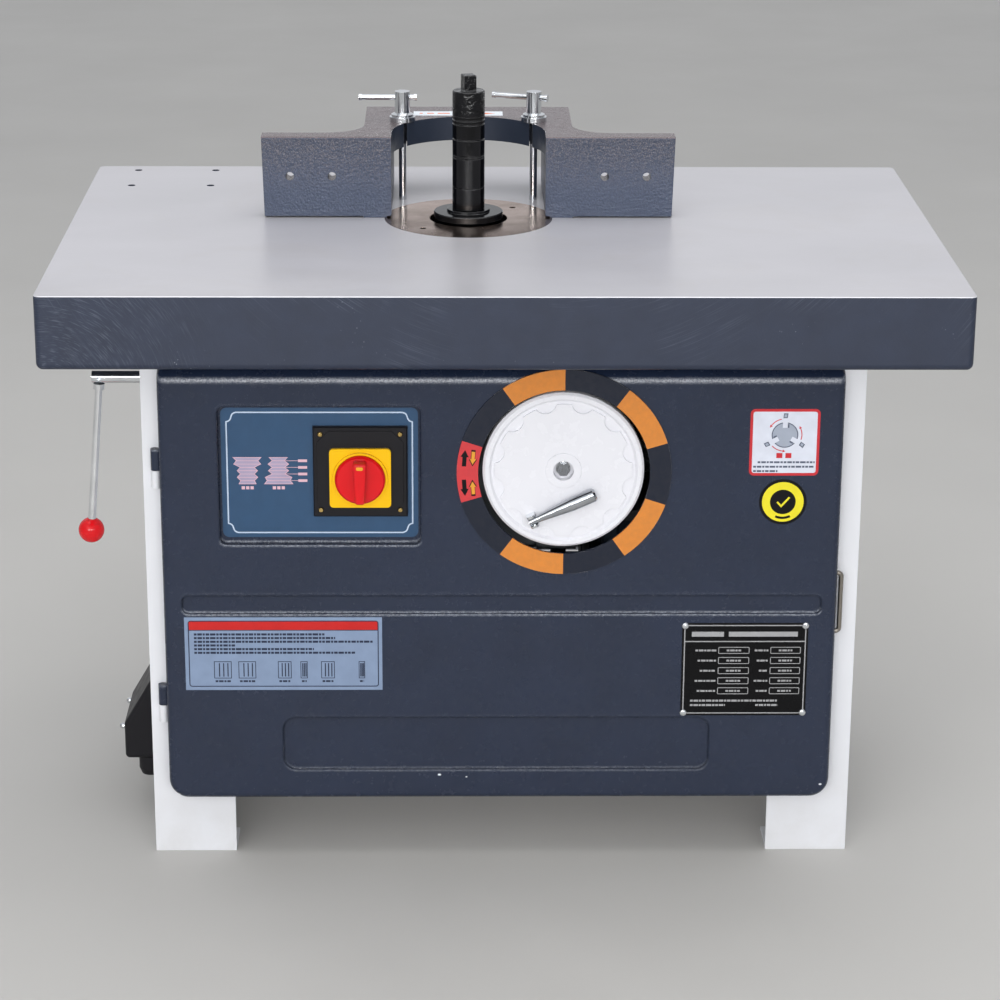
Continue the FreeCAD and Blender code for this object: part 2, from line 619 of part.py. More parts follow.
def make_door_pull():
    """The bent bar on the free edge of the door."""
    y = value("-(door_back + pull_in)")
    edge = value("door_right")
    far = value("door_right + pull_reach")
    low, high = value("pull_bottom"), value("pull_top")
    points = [FreeCAD.Vector(edge, y, high), FreeCAD.Vector(far, y, high),
              FreeCAD.Vector(far, y, low), FreeCAD.Vector(edge, y, low)]
    item = doc.addObject("Part::Feature", "door_pull")
    item.Shape = bent_bar(points, value("pull_bend"), value("pull_bar"))
    keep(item, "door_pull")


def make_hinges():
    """Two lift-off hinges: lower barrels with pins on the cabinet, upper barrels on the door."""
    lower = new_body("hinge_lower")
    turned(lower, [("0", "-hinge_base"), ("hinge_radius", "-hinge_base"), ("hinge_radius", "-air_gap"),
                   ("hinge_pin", "-air_gap"), ("hinge_pin", "hinge_knuckle - overrun"),
                   ("0", "hinge_knuckle - overrun")])
    weld = new_sketch(lower, "XY_Plane", "-hinge_base")
    rectangle(weld, "-hinge_leaf / 2", "0", "hinge_leaf / 2", "hinge_proud")
    pad(lower, weld, "hinge_base - air_gap")
    upper = new_body("hinge_upper")
    turned(upper, [("0", "0"), ("hinge_radius", "0"), ("hinge_radius", "hinge_knuckle"),
                   ("0", "hinge_knuckle")])
    leaf = new_sketch(upper, "XY_Plane")
    rectangle(leaf, "0", "-hinge_radius", "hinge_x - door_left", "hinge_leaf - hinge_radius")
    pad(upper, leaf, "hinge_knuckle")
    bore = circle(new_sketch(upper, "XY_Plane"), "0", "0", "hinge_pin + fit_gap")
    pocket(upper, bore, "hinge_knuckle - air_gap", back=True)
    spots = [("-hinge_x", "-hinge_y", "upper_hinge_z"), ("-hinge_x", "-hinge_y", "lower_hinge_z")]
    group("hinge_lower_barrels", lower, spots)
    group("hinge_upper_barrels", upper, spots)


def make_switch():
    """The rotary main switch in the door's sunk panel."""
    plate = new_body("switch_plate")
    half = "switch_plate_width / 2"
    sketch = new_sketch(plate, "XZ_Plane")
    step = "(switch_plate_height - plate_step)"
    pad(plate, rectangle(sketch, "-" + half, "-" + half, half, half), step)
    soften(plate, "Chamfer", "plate_step", lambda edge: near(edge.CenterOfMass.y, "-" + step))
    ridge = new_sketch(plate, "XZ_Plane", "-" + step)
    outer, inner = "(%s - plate_inset)" % half, "(%s - plate_inset - plate_cut)" % half
    outline(ridge, [("-" + inner, "-" + outer), (inner, "-" + outer), (outer, "-" + inner), (outer, inner),
                    (inner, outer), ("-" + inner, outer), ("-" + outer, inner), ("-" + outer, "-" + inner)])
    pad(plate, ridge, "plate_step")
    hole = circle(new_sketch(plate, "XZ_Plane", "-switch_plate_height"), "0", "-knob_drop",
                  "switch_shaft + air_gap")
    pocket(plate, hole, "switch_plate_height")
    place(plate, "-switch_x", "-recess_floor", "switch_z")
    bezel = new_body("switch_bezel")
    half = "bezel_width / 2"
    sketch = new_sketch(bezel, "XZ_Plane")
    pad(bezel, rectangle(sketch, "-" + half, "-" + half, half, half), "bezel_height")
    soften(bezel, "Fillet", "bezel_corner", lambda edge: along(edge, 1))
    collar = new_sketch(bezel, "XZ_Plane", "-bezel_height")
    circle(collar, "0", "0", "knob_radius + air_gap + bezel_collar")
    circle(collar, "0", "0", "knob_radius + air_gap")
    pad(bezel, collar, "bezel_collar_height")
    hole = circle(new_sketch(bezel, "XZ_Plane", "-bezel_height"), "0", "0", "switch_shaft + air_gap")
    pocket(bezel, hole, "bezel_height")
    place(bezel, "-switch_x", "-switch_face", "knob_z")
    screw = new_body("switch_screw_head")
    turned(screw, [("0", "0"), ("switch_screw", "0"), ("switch_screw * dome_top_share", "switch_screw_proud"),
                   ("0", "switch_screw_proud")])
    reach = "(switch_plate_width / 2 - switch_screw_inset)"
    spots = [("%d * %s - switch_x" % (side, reach), "plate_step - switch_face",
              "%d * %s + switch_z" % (up, reach)) for side in (-1, 1) for up in (-1, 1)]
    group("switch_screws", screw, spots, FreeCAD.Rotation(X_AXIS, 90))
    block = new_body("switch_block")
    half = "switch_block_width / 2"
    sketch = new_sketch(block, "XZ_Plane")
    pad(block, rectangle(sketch, "-" + half, "-" + half, half, half), "switch_block_depth", back=True)
    soften(block, "Chamfer", "bezel_corner", lambda edge: along(edge, 1))
    bore = circle(new_sketch(block, "XZ_Plane"), "0", "0", "switch_shaft + fit_gap")
    pocket(block, bore, "switch_block_depth / 2")
    place(block, "-switch_x", "door_skin - recess_floor", "knob_z")
    knob = new_body("switch_knob")
    turned(knob, [("0", "0"), ("knob_radius", "0"), ("knob_radius", "knob_base * knob_side_share"),
                  ("knob_radius * knob_rim_share", "knob_base"), ("0", "knob_base")])
    grip = new_sketch(knob, "XY_Plane", "knob_base / 2")
    wide, narrow = "knob_grip_width / 2", "knob_grip_width * grip_low_share / 2"
    reach = "knob_radius * grip_reach_share"
    outline(grip, [("-" + narrow, "-" + reach), (narrow, "-" + reach), (wide, reach), ("-" + wide, reach)])
    pad(knob, grip, "knob_base / 2 + knob_grip")
    soften(knob, "Fillet", "knob_grip_width * grip_round_share", lambda edge: (
        edge.BoundBox.ZMax > value("knob_base + knob_grip / 2")))
    stem = circle(new_sketch(knob, "XY_Plane"), "0", "0", "switch_shaft")
    pad(knob, stem, "bezel_face - recess_floor + door_skin + switch_block_depth / 3", back=True)
    place(knob, "-switch_x", "-(bezel_face + air_gap)", "knob_z", FreeCAD.Rotation(X_AXIS, 90))


def make_fence():
    """The cast fence: two wings joined by a bridge that arches round the cutter and is slotted for studs."""
    body = new_body("fence")
    wings = new_sketch(body, "XZ_Plane")
    outline(wings, [("-fence_half", "fence_height"), ("fence_draft - fence_half", "0"),
                    ("fence_half - fence_draft", "0"), ("fence_half", "fence_height")])
    pad(body, wings, "wing_depth", back=True)
    plan = new_sketch(body, "XY_Plane")
    rectangle(plan, "-bridge_half", "wing_depth - overrun", "bridge_half", "bridge_depth")
    pad(body, plan, "fence_height")
    soften(body, "Fillet", "fence_blend", lambda edge: along(edge, 2) and (
        near(abs(edge.CenterOfMass.x), "bridge_half") and near(edge.CenterOfMass.y, "wing_depth")))
    soften(body, "Fillet", "fence_edge", lambda edge: along(edge, 0) and (
        near(edge.CenterOfMass.z, "fence_height") and near(edge.CenterOfMass.y, "0")))
    tunnel = new_sketch(body, "XY_Plane")
    rectangle(tunnel, "-arch_radius", "-overrun", "arch_radius", "bridge_depth + overrun")
    pocket(body, tunnel, "fence_height - bridge_height", back=True)
    soften(body, "Fillet", "fence_inner_round", lambda edge: along(edge, 1) and (
        near(abs(edge.CenterOfMass.x), "arch_radius") and near(edge.CenterOfMass.z, "0")))
    arch = circle(new_sketch(body, "XY_Plane", "fence_height"), "0", "arch_back", "arch_radius")
    pocket(body, arch, "bridge_height + overrun")
    mouth = new_sketch(body, "XY_Plane", "fence_height")
    rectangle(mouth, "-arch_radius", "-overrun", "arch_radius", "arch_back")
    pocket(body, mouth, "bridge_height + overrun")
    lift = new_sketch(body, "XY_Plane")
    for side in (-1, 1):
        rectangle(lift, "%d * (arch_radius - overrun)" % side, "-overrun",
                  "%d * (arch_radius + pad_inset)" % side, "bridge_depth + overrun")
        rectangle(lift, "%d * (arch_radius + pad_inset + pad_width)" % side, "-overrun",
                  "%d * (fence_half + overrun)" % side, "bridge_depth + overrun")
    pocket(body, lift, "fence_lift", back=True)
    for side in (-1, 1):
        slot = new_sketch(body, "XY_Plane", "fence_height")
        rectangle(slot, "%d * stud_reach - slot_half" % side, "stud_back - slot_travel",
                  "%d * stud_reach + slot_half" % side, "stud_back + slot_travel")
        pocket(body, slot, "bridge_height + overrun")
        ends = new_sketch(body, "XY_Plane", "fence_height")
        for end in (-1, 1):
            circle(ends, "%d * stud_reach" % side, "stud_back + %d * slot_travel" % end, "slot_half")
        pocket(body, ends, "bridge_height + overrun")
    holes = new_sketch(body, "XZ_Plane")
    for side in (-1, 1):
        circle(holes, "%d * board_hole_near" % side, "board_hole_z", "board_hole")
        circle(holes, "%d * (board_hole_near + board_hole_pitch)" % side, "board_hole_z", "board_hole")
    pocket(body, holes, "wing_depth * 2")
    place(body, "-fence_x", "fence_y", "table_height")


def make_fence_clamps():
    """The studs, washers, clamp nuts and sliding bars that hold the fence down."""
    stud = new_body("fence_stud")
    turned(stud, [("0", "plate_bottom"), ("stud_radius", "plate_bottom"),
                  ("stud_radius", "washer_top + stud_above"), ("0", "washer_top + stud_above")])
    spots = [("%d * stud_reach - fence_x" % side, "stud_y", "0") for side in (-1, 1)]
    group("fence_studs", stud, spots)
    washer = new_body("clamp_washer")
    turned(washer, [("stud_radius + air_gap", "fence_top"), ("washer_radius", "fence_top"),
                    ("washer_radius", "washer_top"), ("stud_radius + air_gap", "washer_top")])
    group("clamp_washers", washer, spots)
    for label, side, turn in (("left", -1, "0"), ("right", 1, "-right_bar_turn")):
        nut = new_body("clamp_nut_" + label)
        turned(nut, [("stud_radius + fit_gap", "0"), ("nut_flange", "0"),
                     ("nut_flange", "nut_flange_height * head_side_share"),
                     ("nut_radius", "nut_flange_height"),
                     ("nut_radius", "nut_height"), ("0", "nut_height"),
                     ("0", "stud_above + air_gap"), ("stud_radius + fit_gap", "stud_above + air_gap")])
        cross = new_sketch(nut, "YZ_Plane")
        circle(cross, "0", "nut_height - bar_drop", "bar_radius + fit_gap")
        pocket(nut, cross, "nut_radius * 3").SideType = "Symmetric"
        about = FreeCAD.Rotation(Z_AXIS, value(turn))
        place(nut, "%d * stud_reach - fence_x" % side, "stud_y", "washer_top", about)
        bar = new_body("tommy_bar_" + label)
        end, tip = "bar_length / 2", "bar_length / 2 - bar_tip_length"
        turned(bar, [("0", "-(%s)" % end), ("bar_tip", "-(%s)" % end), ("bar_tip", "-(%s)" % tip),
                     ("bar_radius", "-(%s)" % tip), ("bar_radius", tip), ("bar_tip", tip),
                     ("bar_tip", end), ("0", end)])
        lying = about.multiply(FreeCAD.Rotation(Y_AXIS, 90))
        place(bar, "%d * stud_reach - fence_x - bar_shift * cos(%s)" % (side, turn),
              "stud_y - bar_shift * sin(%s)" % turn, "bar_z", lying)


SPACER_SHARES = (0, 0.236, 0.553, 0.577, 0.748, 0.911, 0.955, 1)


def make_spindle():
    """The spindle with its base flange, spacers and cap nut."""
    shaft = new_body("spindle_shaft")
    turned(shaft, [("0", "pulley_bottom - shaft_tail"), ("journal_radius", "pulley_bottom - shaft_tail"),
                   ("journal_radius", "quill_top + cap_height + overrun"),
                   ("neck_radius", "quill_top + cap_height + overrun * 2"), ("neck_radius", "flange_bottom"),
                   ("arbor_radius", "flange_bottom"),
                   ("arbor_radius", "table_height + nut_top - collar_seam * 8"),
                   ("0", "table_height + nut_top - collar_seam * 8")])
    place(shaft, "-fence_x", "fence_y")
    flange = new_body("spindle_flange")
    bore = "arbor_radius + fit_gap"
    shoulder = "flange_top - lip_height"
    turned(flange, [(bore, "flange_bottom"), ("flange_radius", "flange_bottom"), ("flange_radius", shoulder),
                    ("flange_radius - collar_seam", shoulder + " + collar_seam"),
                    ("lip_radius", shoulder + " + collar_seam"), ("lip_radius - collar_seam", "flange_top"),
                    (bore, "flange_top")])
    place(flange, "-fence_x", "fence_y")
    rings = []
    stack = "(table_height + collar_end - flange_top)"
    for number, (low_share, high_share) in enumerate(zip(SPACER_SHARES, SPACER_SHARES[1:])):
        ring = new_body("spacer_%d" % number)
        low = "flange_top + %s * %s" % (stack, low_share)
        high = "flange_top + %s * %s" % (stack, high_share)
        turned(ring, [(bore, low), ("collar_radius - collar_seam", low),
                      ("collar_radius", low + " + collar_seam"), ("collar_radius", high + " - collar_seam"),
                      ("collar_radius - collar_seam", high), (bore, high)])
        rings.append(ring)
    place(gather("spacer_rings", rings), "-fence_x", "fence_y")
    nut = new_body("spindle_nut")
    low, high = "table_height + collar_end", "table_height + nut_top"
    turned(nut, [(bore, low), ("collar_radius", low), ("collar_radius", high + " - collar_seam"),
                 ("collar_radius - collar_seam", high), ("0", high), ("0", high + " - collar_seam * 6"),
                 (bore, high + " - collar_seam * 6")])
    square = new_sketch(nut, "XY_Plane", high)
    rectangle(square, "-square_width / 2", "-square_width / 2", "square_width / 2", "square_width / 2")
    pad(nut, square, "square_height")
    soften(nut, "Chamfer", "collar_seam", lambda edge: near(edge.CenterOfMass.z, high + " + square_height"))
    place(nut, "-fence_x", "fence_y", turn=FreeCAD.Rotation(Z_AXIS, value("square_turn")))


def stepped_pulley(label, radii, bore):
    """A pulley with a V groove in each step, from the lowest step up."""
    corners = [(bore, "pulley_bottom")]
    for number, radius in enumerate(radii):
        low = "pulley_bottom + %d * pulley_step" % number
        floor = "%s - groove_depth" % radius
        corners += [(radius, low), (radius, low + " + groove_flank"),
                    (floor, low + " + pulley_step / 2 - groove_flank / 2"),
                    (floor, low + " + pulley_step / 2 + groove_flank / 2"),
                    (radius, low + " + pulley_step - groove_flank"), (radius, low + " + pulley_step")]
    corners.append((bore, "pulley_top"))
    return turned(new_body(label), corners)


BELT_STEP = 2


def step_radius(number, motor):
    """The radius of a pulley step, counted from the lowest."""
    if motor:
        return "(motor_step_big - %d * spindle_step_rise)" % (3 - number)
    return "(spindle_step_small + %d * spindle_step_rise)" % (3 - number)


def belt_loop(offset):
    """The closed path round both pulleys at an offset from the rims, as a flat face."""
    small = value(step_radius(BELT_STEP, False)) + offset
    big = value(step_radius(BELT_STEP, True)) + offset
    span = value("drive_span")
    lean = math.acos((small - big) / span)

    def rim(centre, radius, turn):
        return FreeCAD.Vector(centre + radius * math.cos(turn), radius * math.sin(turn), 0)

    left = Part.Arc(rim(0, small, lean), rim(0, small, math.pi), rim(0, small, -lean))
    right = Part.Arc(rim(span, big, -lean), rim(span, big, 0), rim(span, big, lean))
    lower = Part.LineSegment(rim(0, small, -lean), rim(span, big, -lean))
    upper = Part.LineSegment(rim(span, big, lean), rim(0, small, lean))
    return Part.Face(Part.Wire([side.toShape() for side in (left, lower, right, upper)]))


def make_drive():
    """The stepped pulleys and the belt between the motor and the spindle."""
    spindle_radii = [step_radius(number, False) for number in range(4)]
    motor_radii = [step_radius(number, True) for number in range(4)]
    place(stepped_pulley("spindle_pulley", spindle_radii, "journal_radius + fit_gap"), "-fence_x", "fence_y")
    place(stepped_pulley("motor_pulley", motor_radii, "motor_shaft + fit_gap"), "motor_x", "motor_y")
    belt = doc.addObject("Part::Feature", "drive_belt")
    band = belt_loop(value("belt_proud")).cut(belt_loop(-value("belt_sunk")))
    belt.Shape = band.extrude(FreeCAD.Vector(0, 0, value("belt_height"))).Solids[0]
    low = "pulley_bottom + %d * pulley_step + pulley_step / 2 - belt_height / 2" % BELT_STEP
    place(keep(belt, "drive_belt"), "-fence_x", "fence_y", low,
          FreeCAD.Rotation(Z_AXIS, value("drive_turn")))


def slide_x(text, side=1):
    """An X place measured from the spindle's axis."""
    return "%d * (%s) - fence_x" % (side, text)


def make_slide_way():
    """The dovetail guide under the table, its gib, and the carriage that holds the spindle."""
    guide = new_body("guide_bracket")
    block = new_sketch(guide, "XY_Plane", "guide_bottom")
    outline(block, [
        (slide_x("guide_half", -1), "-guide_front"), (slide_x("guide_half"), "-guide_front"),
        (slide_x("guide_half"), "-guide_face"), (slide_x("dovetail_half"), "-guide_face"),
        (slide_x("dovetail_wide"), "-dovetail_bottom"),
        (slide_x("dovetail_wide + gib_width", -1), "-dovetail_bottom"),
        (slide_x("dovetail_half + gib_width", -1), "-guide_face"),
        (slide_x("guide_half", -1), "-guide_face")])
    pad(guide, block, "plate_bottom - guide_bottom")
    foot = new_sketch(guide, "XY_Plane", "plate_bottom")
    for side in (-1, 1):
        rectangle(foot, slide_x("guide_half - overrun", side), "-guide_front",
                  slide_x("guide_half + guide_flange_lap", side), "-guide_face")
    pad(guide, foot, "guide_flange", back=True)
    bore = new_sketch(guide, "YZ_Plane", slide_x("guide_half + overrun", -1))
    circle(bore, "-lock_y", "lock_z", "lock_shaft + fit_gap")
    pocket(guide, bore, "guide_half", back=True)
    gib = new_body("gib_strip")
    strip = new_sketch(gib, "XY_Plane", "guide_bottom")
    outline(strip, [
        (slide_x("dovetail_half + gib_width", -1), "-guide_face"),
        (slide_x("dovetail_wide + gib_width", -1), "-dovetail_bottom"),
        (slide_x("dovetail_wide", -1), "-dovetail_bottom"), (slide_x("dovetail_half", -1), "-guide_face")])
    pad(gib, strip, "plate_bottom - guide_bottom")
    body = new_body("spindle_carriage")
    plate = new_sketch(body, "XY_Plane", "carriage_low")
    outline(plate, [
        (slide_x("guide_half", -1), "-carriage_back"), (slide_x("guide_half", -1), "-slide_face"),
        (slide_x("dovetail_half - air_gap", -1), "-slide_face"),
        (slide_x("dovetail_wide - air_gap * 2", -1), "air_gap - dovetail_bottom"),
        (slide_x("dovetail_wide - air_gap * 2"), "air_gap - dovetail_bottom"),
        (slide_x("dovetail_half - air_gap"), "-slide_face"),
        (slide_x("guide_half"), "-slide_face"), (slide_x("guide_half"), "-carriage_back")])
    pad(body, plate, "carriage_top - carriage_low")
    web = new_sketch(body, "XY_Plane", "quill_bottom")
    rectangle(web, slide_x("web_width / 2", -1), "-carriage_back - overrun", slide_x("web_width / 2"),
              "fence_y")
    pad(body, web, "web_top - quill_bottom")
    quill = new_sketch(body, "XY_Plane", "quill_bottom")
    pad(body, circle(quill, "-fence_x", "fence_y", "quill_radius"), "quill_height")
    lug = new_sketch(body, "XY_Plane", "lug_top")
    rectangle(lug, slide_x("guide_half - overrun"), "-(screw_y + lug_half)", "wheel_x + lug_half",
              "-carriage_back")
    pad(body, lug, "lug_height", back=True)
    nut_hole = new_sketch(body, "XY_Plane", "lug_top")
    pocket(body, circle(nut_hole, "wheel_x", "-screw_y", "screw_radius + nut_wall"), "lug_height")
    bore = new_sketch(body, "XY_Plane", "quill_top")
    pocket(body, circle(bore, "-fence_x", "fence_y", "bearing_radius - bearing_inset"), "quill_height")
    for level, back in (("quill_top", False), ("quill_bottom", True)):
        seat = circle(new_sketch(body, "XY_Plane", level), "-fence_x", "fence_y", "bearing_radius")
        pocket(body, seat, "bearing_height", back=back)


def make_bearings():
    """The two spindle bearings and their caps."""
    bearing = new_body("bearing")
    shield = "bearing_height * (1 - bearing_edge_share)"
    outer_race, inner_race = "bearing_radius - bearing_inset / 2", "journal_radius + bearing_inset / 2"
    turned(bearing, [("journal_radius + fit_gap", "0"), ("bearing_radius", "0"),
                     ("bearing_radius", "bearing_height"), (outer_race, "bearing_height"),
                     (outer_race, shield), (inner_race, shield), (inner_race, "bearing_height"),
                     ("journal_radius + fit_gap", "bearing_height")])
    group("spindle_bearings", bearing, [("-fence_x", "fence_y", "quill_top - bearing_height"),
                                        ("-fence_x", "fence_y", "quill_bottom")])
    cap = new_body("bearing_cap")
    turned(cap, [("journal_radius + air_gap", "0"), ("cap_radius", "0"), ("cap_radius", "cap_height"),
                 ("journal_radius + air_gap", "cap_height")])
    group("bearing_caps", cap, [("-fence_x", "fence_y", "quill_top"),
                                ("-fence_x", "fence_y", "quill_bottom - cap_height")])


ROOT_SHARE = 0.88
TOOTH_SHARES = ((0.84, 0.105), (1.08, 0.045))


def bevel_gear(label):
    """A mitre gear whose cone points at the origin, with straight teeth that taper to that point."""
    body = new_body(label)
    inner = "(gear_radius - gear_face)"
    turned(body, [("shaft_radius", inner), ("%s * %s" % (inner, ROOT_SHARE), inner),
                  ("gear_radius * %s" % ROOT_SHARE, "gear_radius"), ("gear_hub_radius", "gear_radius"),
                  ("gear_hub_radius", "gear_back"), ("shaft_radius", "gear_back")])
    sections = []
    for level in (inner, "gear_radius"):
        sketch = new_sketch(body, "XY_Plane", level)
        (low, wide), (high, narrow) = TOOTH_SHARES
        outline(sketch, [("%s * %s" % (level, low), "-%s * %s" % (level, wide)),
                         ("%s * %s" % (level, high), "-%s * %s" % (level, narrow)),
                         ("%s * %s" % (level, high), "%s * %s" % (level, narrow)),
                         ("%s * %s" % (level, low), "%s * %s" % (level, wide))])
        sections.append(sketch)
    tooth = body.newObject("PartDesign::AdditiveLoft", label + "_tooth")
    tooth.Profile = sections[0]
    tooth.Sections = sections[1:]
    ring_of(body, [tooth], "gear_teeth")
    return body


def make_rise_and_fall():
    """The bracket, shafts, mitre gears, lead screw and nut that raise the carriage."""
    half_tooth = FreeCAD.Rotation(Z_AXIS, 180 / value("gear_teeth"))
    wheel_gear = bevel_gear("wheel_bevel_gear")
    place(wheel_gear, "wheel_x", "-screw_y", "wheel_z", FreeCAD.Rotation(X_AXIS, 90))
    screw_gear = bevel_gear("screw_bevel_gear")
    place(screw_gear, "wheel_x", "-screw_y", "wheel_z", FreeCAD.Rotation(X_AXIS, 180).multiply(half_tooth))
    screw = new_body("lead_screw")
    turned(screw, [("0", "screw_bottom"), ("screw_radius", "screw_bottom"), ("screw_radius", "arm_top"),
                   ("shaft_radius", "arm_top"), ("shaft_radius", "wheel_z - gear_radius + gear_face"),
                   ("0", "wheel_z - gear_radius + gear_face")])
    place(screw, "wheel_x", "-screw_y")
    nut = new_body("lead_screw_nut")
    turned(nut, [("screw_radius + fit_gap", "carriage_low"), ("screw_radius + nut_wall", "carriage_low"),
                 ("screw_radius + nut_wall", "lug_top"), ("screw_radius + fit_gap", "lug_top")])
    place(nut, "wheel_x", "-screw_y")
    shaft = new_body("handwheel_shaft")
    start, end = "screw_y + gear_radius - gear_face", "handwheel_front - socket_depth"
    tapped = "hub_screw + fit_gap"
    turned(shaft, [("0", start), ("shaft_radius", start), ("shaft_radius", end), (tapped, end),
                   (tapped, end + " - hub_screw_length"), ("0", end + " - hub_screw_length")])
    place(shaft, "wheel_x", "0", "wheel_z", FreeCAD.Rotation(X_AXIS, 90))
    bracket = new_body("gear_bracket")
    left, right = slide_x("guide_half"), "wheel_x + bracket_half + bracket_wall"
    plan = new_sketch(bracket, "XY_Plane", "arm_top - bracket_wall")
    front, back = "-(screw_y + bracket_depth)", "bracket_half - screw_y"
    rectangle(plan, left, front, right, back)
    pad(bracket, plan, "wheel_z + bracket_rise - arm_top + bracket_wall")
    room = new_sketch(bracket, "XY_Plane", "arm_top")
    rectangle(room, left + " - overrun", front + " + bracket_wall", "wheel_x + bracket_half",
              back + " + overrun")
    pocket(bracket, room, "wheel_z + bracket_rise - arm_top + overrun", back=True)
    under = new_sketch(bracket, "XY_Plane", "arm_top - bracket_wall")
    rectangle(under, left + " - overrun", front + " + bracket_wall", "wheel_x + bracket_half",
              "-(screw_y + bracket_half)")
    pocket(bracket, under, "bracket_wall", back=True)
    screw_hole = new_sketch(bracket, "XY_Plane", "arm_top")
    pocket(bracket, circle(screw_hole, "wheel_x", "-screw_y", "screw_radius + fit_gap"), "bracket_wall")
    shaft_hole = new_sketch(bracket, "XZ_Plane", front)
    pocket(bracket, circle(shaft_hole, "wheel_x", "wheel_z", "shaft_radius + fit_gap"), "bracket_wall")


def make_handwheel():
    """The scalloped handwheel with its hub screw, and the crank that folds flat on its face."""
    wheel = new_body("handwheel")
    front, step = "handwheel_height", "handwheel_height - dish_depth"
    bore, rim = "shaft_radius + fit_gap", "handwheel_radius - rim_width"
    turned(wheel, [(bore, "handwheel_height - hub_length"), ("hub_radius", "handwheel_height - hub_length"),
                   ("hub_radius", "dish_depth * 2"), (rim, "dish_depth * 2"), (rim, "0"),
                   ("handwheel_radius - dish_depth", "0"), ("handwheel_radius", "dish_depth"),
                   ("handwheel_radius", step), ("plateau_radius", step),
                   ("plateau_radius", front), ("hub_radius", front), ("hub_radius", front + " + hub_rise"),
                   ("socket_radius", front + " + hub_rise"), ("socket_radius", front + " - socket_depth"),
                   (bore, front + " - socket_depth")])
    bite = circle(new_sketch(wheel, "XY_Plane", front), "scallop_reach * cos(scallop_turn)",
                  "scallop_reach * sin(scallop_turn)", "scallop_radius")
    scallop = pocket(wheel, bite, "dish_depth")
    ring_of(wheel, [scallop], "scallop_count")
    turned(wheel, [(rim + " - dish_depth", step), ("handwheel_radius", step),
                   ("handwheel_radius - dish_depth", front), (rim, front)])
    outward = FreeCAD.Rotation(X_AXIS, 90)
    place(wheel, "wheel_x", "handwheel_height - handwheel_front", "wheel_z", outward)
    screw = bolt("handwheel_screw", "hub_screw", "hub_screw_length")
    place(screw, "wheel_x", "socket_depth - handwheel_front", "wheel_z", outward)


def crank_frame():
    """The place and turn of the folded crank: local X runs along the handle, local Z out of the wheel."""
    axis_out = "handwheel_front + crank_big + air_gap"
    where = FreeCAD.Vector(value("wheel_x - crank_x"), value("-(%s)" % axis_out), value("wheel_z - crank_z"))
    outward = FreeCAD.Rotation(X_AXIS, 90)
    return where, outward.multiply(FreeCAD.Rotation(Z_AXIS, value("crank_turn")))


def make_crank():
    """The crank's bracket with its pin, and the tapered handle that swings on the pin."""
    where, turn = crank_frame()
    lift = "(crank_big + air_gap)"
    width = "(crank_small + air_gap + crank_ear)"
    bracket = new_body("crank_bracket")
    profile = new_sketch(bracket, "XZ_Plane")
    rectangle(profile, "-crank_eye", "-" + lift, "crank_eye", "crank_eye")
    pad(bracket, profile, width + " * 2", middle=True)
    soften(bracket, "Fillet", "crank_eye * ear_round_share", lambda edge: (
        along(edge, 1) and near(edge.CenterOfMass.z, "crank_eye")))
    room = new_sketch(bracket, "XZ_Plane")
    rectangle(room, "-crank_eye - overrun", "crank_ear * ear_floor_share - " + lift,
              "crank_eye + overrun", "crank_eye + overrun")
    pocket(bracket, room, "(crank_small + air_gap) * 2").SideType = "Symmetric"
    axle = new_sketch(bracket, "XZ_Plane")
    pad(bracket, circle(axle, "0", "0", "crank_pin"), width + " * 2", middle=True)
    handle = new_body("crank_handle")
    profile = new_sketch(handle, "XY_Plane")
    neck = "crank_eye * neck_share"
    outline(profile, [("-crank_small", "0"), ("-crank_small", "crank_small"), (neck, "crank_small"),
                      ("crank_length * swell_share", "crank_big"), ("crank_length - crank_pin", "crank_big"),
                      ("crank_length", "crank_big - crank_pin"), ("crank_length", "0")])
    spin = handle.newObject("PartDesign::Revolution", "crank_handle_turn")
    spin.Profile = profile
    spin.ReferenceAxis = (profile, ["H_Axis"])
    spin.Angle = 360
    eye = circle(new_sketch(handle, "XZ_Plane"), "0", "0", "crank_pin + fit_gap")
    pocket(handle, eye, "crank_small * 3").SideType = "Symmetric"
    for item in (bracket, handle):
        item.Placement = FreeCAD.Placement(where, turn)


